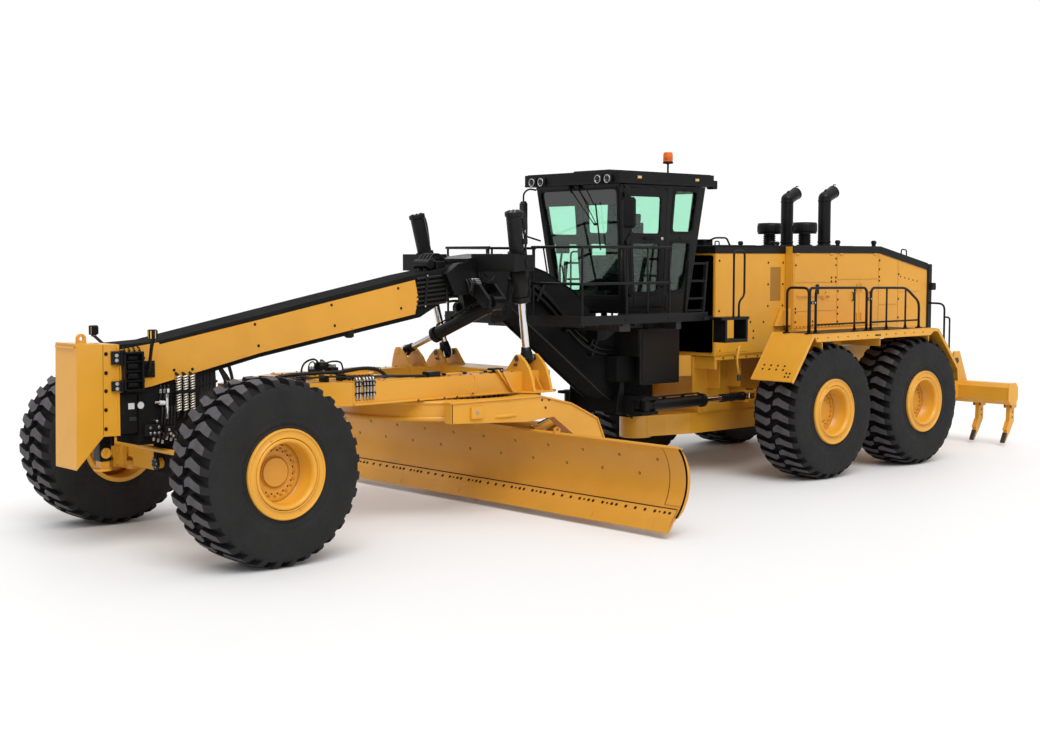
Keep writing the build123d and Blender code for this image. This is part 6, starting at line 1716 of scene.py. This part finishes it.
# frame of the rear end with its grille
p.sheet(rounded([(-1030, 3055), (1030, 3055), (1030, 1990), (-1030, 1990)], 50), [rounded([(-880, 2950), (880, 2950), (880, 2120), (-880, 2120)], 30)],
        lambda u, v, w: V((w, u, v)), -13400, -13296)
p.box(-13330, -13304, -885, 885, 2115, 2955, 4, 1)
for k in range(20):
    z = 2145 + 41 * k
    p.obox((-13358, 0, z), (44, 1760, 6), [Vector((0.86, 0, 0.5)), Vector((0, 1, 0)), Vector((-0.5, 0, 0.86))], 2, 5)
for y in (-440, 0, 440):
    p.box(-13392, -13366, y - 14, y + 14, 2118, 2952, 4, 0)
for s in (1, -1):
    p.box(-13420, -13300, s * 985, s * 1046, 2000, 3060, 14, 0)
    for z in (2690,):
        p.box(-13440, -13330, s * 1030, s * 1110, z - 60, z + 60, 10, 5)
        p.box(-13452, -13438, s * 1040, s * 1100, z - 45, z + 45, 4, 2)
    for z in (2880, 2600, 2300, 2060):
        p.bolt((-13400, s * 960, z), (-1, 0, 0), 12, 9, 4)
    p.box(-13560, -13440, s * 560, s * 700, 1620, 1720, 8, 5)
    p.box(-13568, -13556, s * 575, s * 685, 1635, 1705, 4, 3)
p.done()

# ---------------------------------------------------------------- exhaust and air intake
p = Piece("stack_trim", "rear_frame", [BLACK, BLACK_M, STEEL], "black_paint")
for z in (3362, 3415):
    p.lathe([(101, z - 14), (109, z - 10), (109, z + 10), (101, z + 14)], (-11353, 370, 0), (0, 0, 1), 36, 0, False)
p.lathe([(101, 4050), (106, 4054), (106, 4078), (101, 4082)], (-11353, 370, 0), (0, 0, 1), 36, 0, False)
o = Vector((-11353, 370, 4110))
dd = Vector((-237, 0, 105)).normalized()
p.lathe([(101, 236), (104, 242), (104, 264), (96, 266), (88, 262), (84, 200), (0, 196)], o, dd, 40, 1, False)
p.tube([(-11353, 370, 4200), (-11353, 370, 4232), (-11385, 370, 4246)], 10, 8, 0)
p.tube([(-11560, 370, 4300), (-11590, 370, 4330), (-11640, 370, 4325)], 9, 8, 0)
p.lathe([(128, 3340), (128, 3360), (108, 3364), (108, 3352)], (-11353, 370, 0), (0, 0, 1), 36, 0, False)
# intake: ribbed bowl and cap
for k in range(4):
    z = 3400 + 36 * k
    p.lathe([(90, z - 8), (104, z - 6), (104, z + 6), (90, z + 8)], (-10873, 347, 0), (0, 0, 1), 36, 1, False)
p.lathe([(92, 3540), (186, 3560), (193, 3572), (193, 3690), (184, 3708), (150, 3718), (0, 3724)], (-10873, 347, 0), (0, 0, 1), 48, 0, True)
for i in range(24):
    w = 2 * math.pi * i / 24
    p.obox((-10873 + 192 * math.cos(w), 347 + 192 * math.sin(w), 3625), (8, 14, 90), [Vector((math.cos(w), math.sin(w), 0)), Vector((-math.sin(w), math.cos(w), 0)), Vector((0, 0, 1))], 2, 1)
p.lathe([(126, 3336), (126, 3364), (96, 3372), (92, 3350)], (-10873, 347, 0), (0, 0, 1), 36, 0, False)
p.mirror()
p.done()

# ---------------------------------------------------------------- fenders
p = Piece("fender_trim", "rear_frame", [YELLOW, RECESS_SHADE, DARKSTEEL, PLATE, YELLOW_MATT_SHADE], "yellow_paint")


def slope(x):
    return 2090 + (x + 8760) / (-8280 + 8760) * (1450 - 2090)


nf = Vector((640, 0, 480)).normalized()
for k, x in enumerate((-8325, -8360, -8390, -8430)):
    for y in ((2020, 1960) if k < 2 else (1880, 1760, 1640, 1520)):
        p.bolt((x if k > 1 else x, y, slope(x) + 1), nf, 11, 8, 1)
# edge beads along the outer lip
LIP = [(-12555, 1235), (-12525, 1440), (-12245, 1745), (-11930, 2070), (-11720, 2090), (-8760, 2090), (-8280, 1450)]
strip(p, LIP, 2112, 2126, 10)
strip(p, LIP, 1396, 1408, 14)
# gussets below
for x in (-9000, -10412, -11700):
    p.prism([(x, 2074), (x + 26, 2074), (x + 26, 1990), (x, 1860)], "xz", 1420, 2098)
p.prism([(-10250, 2074), (-10560, 2074), (-10480, 1700), (-10330, 1700)], "xz", 1330, 1352)
p.box(-10560, -10260, 1290, 1420, 1200, 1240, 6)
p.box(-10430, -10390, 1300, 1350, 1230, 2074, 6)
# anti-slip strips on the walkway
for k in range(14):
    x = -9000 - 190 * k
    p.box(x - 70, x + 70, 1430, 2080, 2091, 2094, 1, 3)
for k in range(12):
    p.bolt((-8850 - 240 * k, 2122, 2035), (0, 1, 0), 8, 6, 1)
# small dark patch on the lip in the recess shade material: painted shade
p.box(-10380, -10240, 2121, 2127, 2020, 2040, 2, 1)
# steps and bracket at the fender's front
p.tube(bent([(-8520, 1010, 1900), (-8400, 1080, 1880), (-8330, 1100, 1700), (-8380, 1100, 1480)], 60), 18, 10, 4)
p.cyl((-8385, 1100, 1400), (-8379, 1100, 1490), 30, 16, 4, 2)
p.mirror()
p.done()

# ---------------------------------------------------------------- handrails of the fenders and the rear steps
p = Piece("rear_rails", "rear_frame", [BLACK, STEEL, BLACK_M], "black_paint", ("rear_handrails",))
FZ = 2090.0
for pts in ([(-8800, 1620, FZ), (-8800, 1620, 2740), (-8800, 2000, 2740), (-8800, 2000, FZ)],
            [(-8820, 2000, FZ), (-8820, 2000, 2738), (-8960, 2000, 2738)],
            [(-8960, 2000, FZ), (-8960, 2000, 2738), (-10190, 2000, 2724), (-10190, 2000, FZ)],
            [(-10300, 2000, FZ), (-10300, 2000, 2722), (-11200, 2000, 2708), (-11560, 2000, 2490), (-11560, 2000, FZ)]):
    p.tube(bent(pts, 95), 19, 12)
for pts in ([(-8960, 2000, 2215), (-10190, 2000, 2215)], [(-10300, 2000, 2215), (-11560, 2000, 2215)],
            [(-9890, 2000, FZ), (-9890, 2000, 2725)], [(-10700, 2000, FZ), (-10700, 2000, 2714)], [(-11195, 2000, FZ), (-11195, 2000, 2700)]):
    p.tube(pts, 14, 10)
for x, y in ((-8800, 1620), (-8800, 2000), (-8960, 2000), (-9890, 2000), (-10190, 2000), (-10300, 2000), (-10700, 2000), (-11195, 2000), (-11560, 2000)):
    p.box(x - 48, x + 48, y - 36, y + 36, FZ, FZ + 18, 4)
    for sg in (-1, 1):
        p.prism([(x + sg * 18, FZ + 16), (x + sg * 44, FZ + 16), (x + sg * 18, FZ + 80)], "xz", y - 5, y + 5)
        p.bolt((x + sg * 36, y - 22, FZ + 18), (0, 0, 1), 8, 7, 1)
for x0, x1, z in ((-8965, -8815, 2530), (-10305, -10185, 2560)):
    p.box(x0, x1, 1978, 2024, z - 22, z + 22, 8, 2)
    p.bolt(((x0 + x1) / 2 - 30, 2024, z), (0, 1, 0), 8, 6, 1)
    p.bolt(((x0 + x1) / 2 + 30, 2024, z), (0, 1, 0), 8, 6, 1)
# guard rails beside the rear steps
p.tube(bent([(-13350, 917, 2420), (-13350, 1330, 2410), (-13350, 1330, 1550)], 110), 17, 12)
p.tube(bent([(-13350, 1330, 2190), (-13350, 1430, 2190), (-13350, 1430, 1550)], 60), 15, 10)
p.box(-13400, -13302, 900, 1460, 1525, 1555, 5)
p.box(-13380, -13320, 900, 935, 1550, 2430, 5)
for z in (1650, 1980, 2300):
    p.bolt((-13350, 935, z), (0, 1, 0), 9, 7, 1)
p.mirror()
p.done()

# ---------------------------------------------------------------- ripper
p = Piece("ripper_trim", "ripper", [YELLOW, RECESS_SHADE, DARKSTEEL, YELLOW_MATT_SHADE], "yellow_paint")
for i in range(7):
    y = (i - 3) * 580.0
    for k in (-1, 1):
        p.box(-14852, -14700, y + k * 38, y + k * 74, 628, 690, 5)
        p.bolt((-14780, y + k * 75, 720), (0, k, 0), 16, 14, 2)
    # worn point and shin of the shank
    p.obox((-14590, y, 132), (34, 84, 190), [Vector((0.88, 0, 0.47)), Vector((0, 1, 0)), Vector((-0.47, 0, 0.88))], 8, 2)
    p.prism([(-14712, 395), (-14640, 250), (-14610, 262), (-14690, 410)], "xz", y - 40, y + 40, 0)
    for z in (560, 470):
        p.cyl((-14790, y - 42, z), (-14790, y + 42, z), 15, 12, 2, 2)
for s in (1, -1):
    p.prism([(-14858, 785), (-14858, 965), (-14792, 1058), (-14615, 1058), (-14552, 985), (-14552, 765), (-14636, 682), (-14794, 682)], "xz", s * 1822, s * 1836)
    for y0 in (625, 660, 840, 875):
        p.lathe([(0, 0), (74, 0), (74, 6), (0, 6)], (-13560, s * y0 - (3 if s > 0 else 3), 960), (0, 1, 0), 28, 0, False)
    p.lathe([(0, 0), (58, 0), (58, 16), (0, 16)], (-13560, s * 874, 960), (0, s, 0), 28, 2, False)
    p.lathe([(0, 0), (52, 0), (52, 14), (0, 14)], (-14490, s * 875, 1400), (0, s, 0), 28, 2, False)
    p.box(-14560, -14420, s * 690, s * 810, 1040, 1066, 5, 3)
p.done()
p = Piece("ripper_cylinder_trim", "ripper_barrels", [YELLOW, DARKSTEEL, HOSE], "yellow_paint")
A, B = Vector((-13570, 750, 1620)), Vector((-14490, 750, 1400))
dd = (B - A).normalized()
p.lathe([(57, 455), (72, 460), (72, 520), (64, 527), (38, 528)], A, dd, 32, 0, False)
p.tube([A + dd * 90 + Vector((0, 0, 62)), A + dd * 120 + Vector((0, 0, 80)), A + dd * 430 + Vector((0, 0, 78))], 10, 8, 2)
p.mirror()
p.done()

# ---------------------------------------------------------------- floor, light and camera
floor_me = bpy.data.meshes.new("floor")
S = 160.0
floor_me.from_pydata([(-S, -S, 0), (S, -S, 0), (S, S, 0), (-S, S, 0)], [], [(0, 1, 2, 3)])
floor = bpy.data.objects.new("floor", floor_me)
bpy.context.scene.collection.objects.link(floor)
m, nt, b = new_mat("floor_pale")
nt.links.new(ramp(nt, noise(nt, coords(nt), 0.4), [(0.3, (0.765, 0.765, 0.765)), (0.7, (0.775, 0.775, 0.775))]), b.inputs["Base Color"])
b.inputs["Roughness"].default_value = 0.6
floor_me.materials.append(m)

world = bpy.data.worlds.new("studio")
bpy.context.scene.world = world
world.use_nodes = True
wn = world.node_tree
bg = wn.nodes["Background"]
bg.inputs["Color"].default_value = (1.0, 1.0, 1.0, 1)
# soft dome: bright overhead, dimmer round the horizon, with a white backdrop behind the machine
tc = wn.nodes.new("ShaderNodeTexCoord")
sep = wn.nodes.new("ShaderNodeSeparateXYZ")
wn.links.new(tc.outputs["Generated"], sep.inputs["Vector"])
dome = wn.nodes.new("ShaderNodeMapRange")
dome.inputs["To Min"].default_value = 0.36
dome.inputs["To Max"].default_value = 1.15
wn.links.new(sep.outputs["Z"], dome.inputs["Value"])
dot = wn.nodes.new("ShaderNodeVectorMath")
dot.operation = "DOT_PRODUCT"
dot.inputs[1].default_value = (-0.6736, -0.7391, 0.0)
wn.links.new(tc.outputs["Generated"], dot.inputs[0])
drop = wn.nodes.new("ShaderNodeMapRange")
drop.inputs["From Min"].default_value = 0.78
drop.inputs["From Max"].default_value = 0.915
wn.links.new(dot.outputs["Value"], drop.inputs["Value"])
blend = wn.nodes.new("ShaderNodeMix")
blend.inputs["B"].default_value = 1.05
wn.links.new(drop.outputs["Result"], blend.inputs["Factor"])
wn.links.new(dome.outputs["Result"], blend.inputs["A"])
wn.links.new(blend.outputs["Result"], bg.inputs["Strength"])

key = bpy.data.lights.new("key", "SUN")
key.energy = 2.0
key.angle = 0.75
key_ob = bpy.data.objects.new("key", key)
key_ob.rotation_euler = Vector((-0.27, -0.57, -0.78)).to_track_quat("-Z", "Y").to_euler()
key_ob.location = (10, 12, 16)
bpy.context.scene.collection.objects.link(key_ob)

cam = bpy.data.cameras.new("camera")
cam.sensor_fit = "HORIZONTAL"
cam.sensor_width = 36.0
cam.lens = 1503.57 / 1040.0 * 36.0
cam.clip_start, cam.clip_end = 0.1, 400.0
co = bpy.data.objects.new("camera", cam)
YAW, PITCH_C = -2.3099, -0.0745
look = Vector((math.cos(PITCH_C) * math.cos(YAW), math.cos(PITCH_C) * math.sin(YAW), math.sin(PITCH_C)))
co.location = (8.4345 + X_SHIFT / 1000.0, 14.8845, 3.1619)
co.rotation_euler = look.to_track_quat("-Z", "Y").to_euler()
bpy.context.scene.collection.objects.link(co)
bpy.context.scene.camera = co
bpy.context.scene.view_settings.view_transform = "Standard"

bpy.context.view_layer.update()
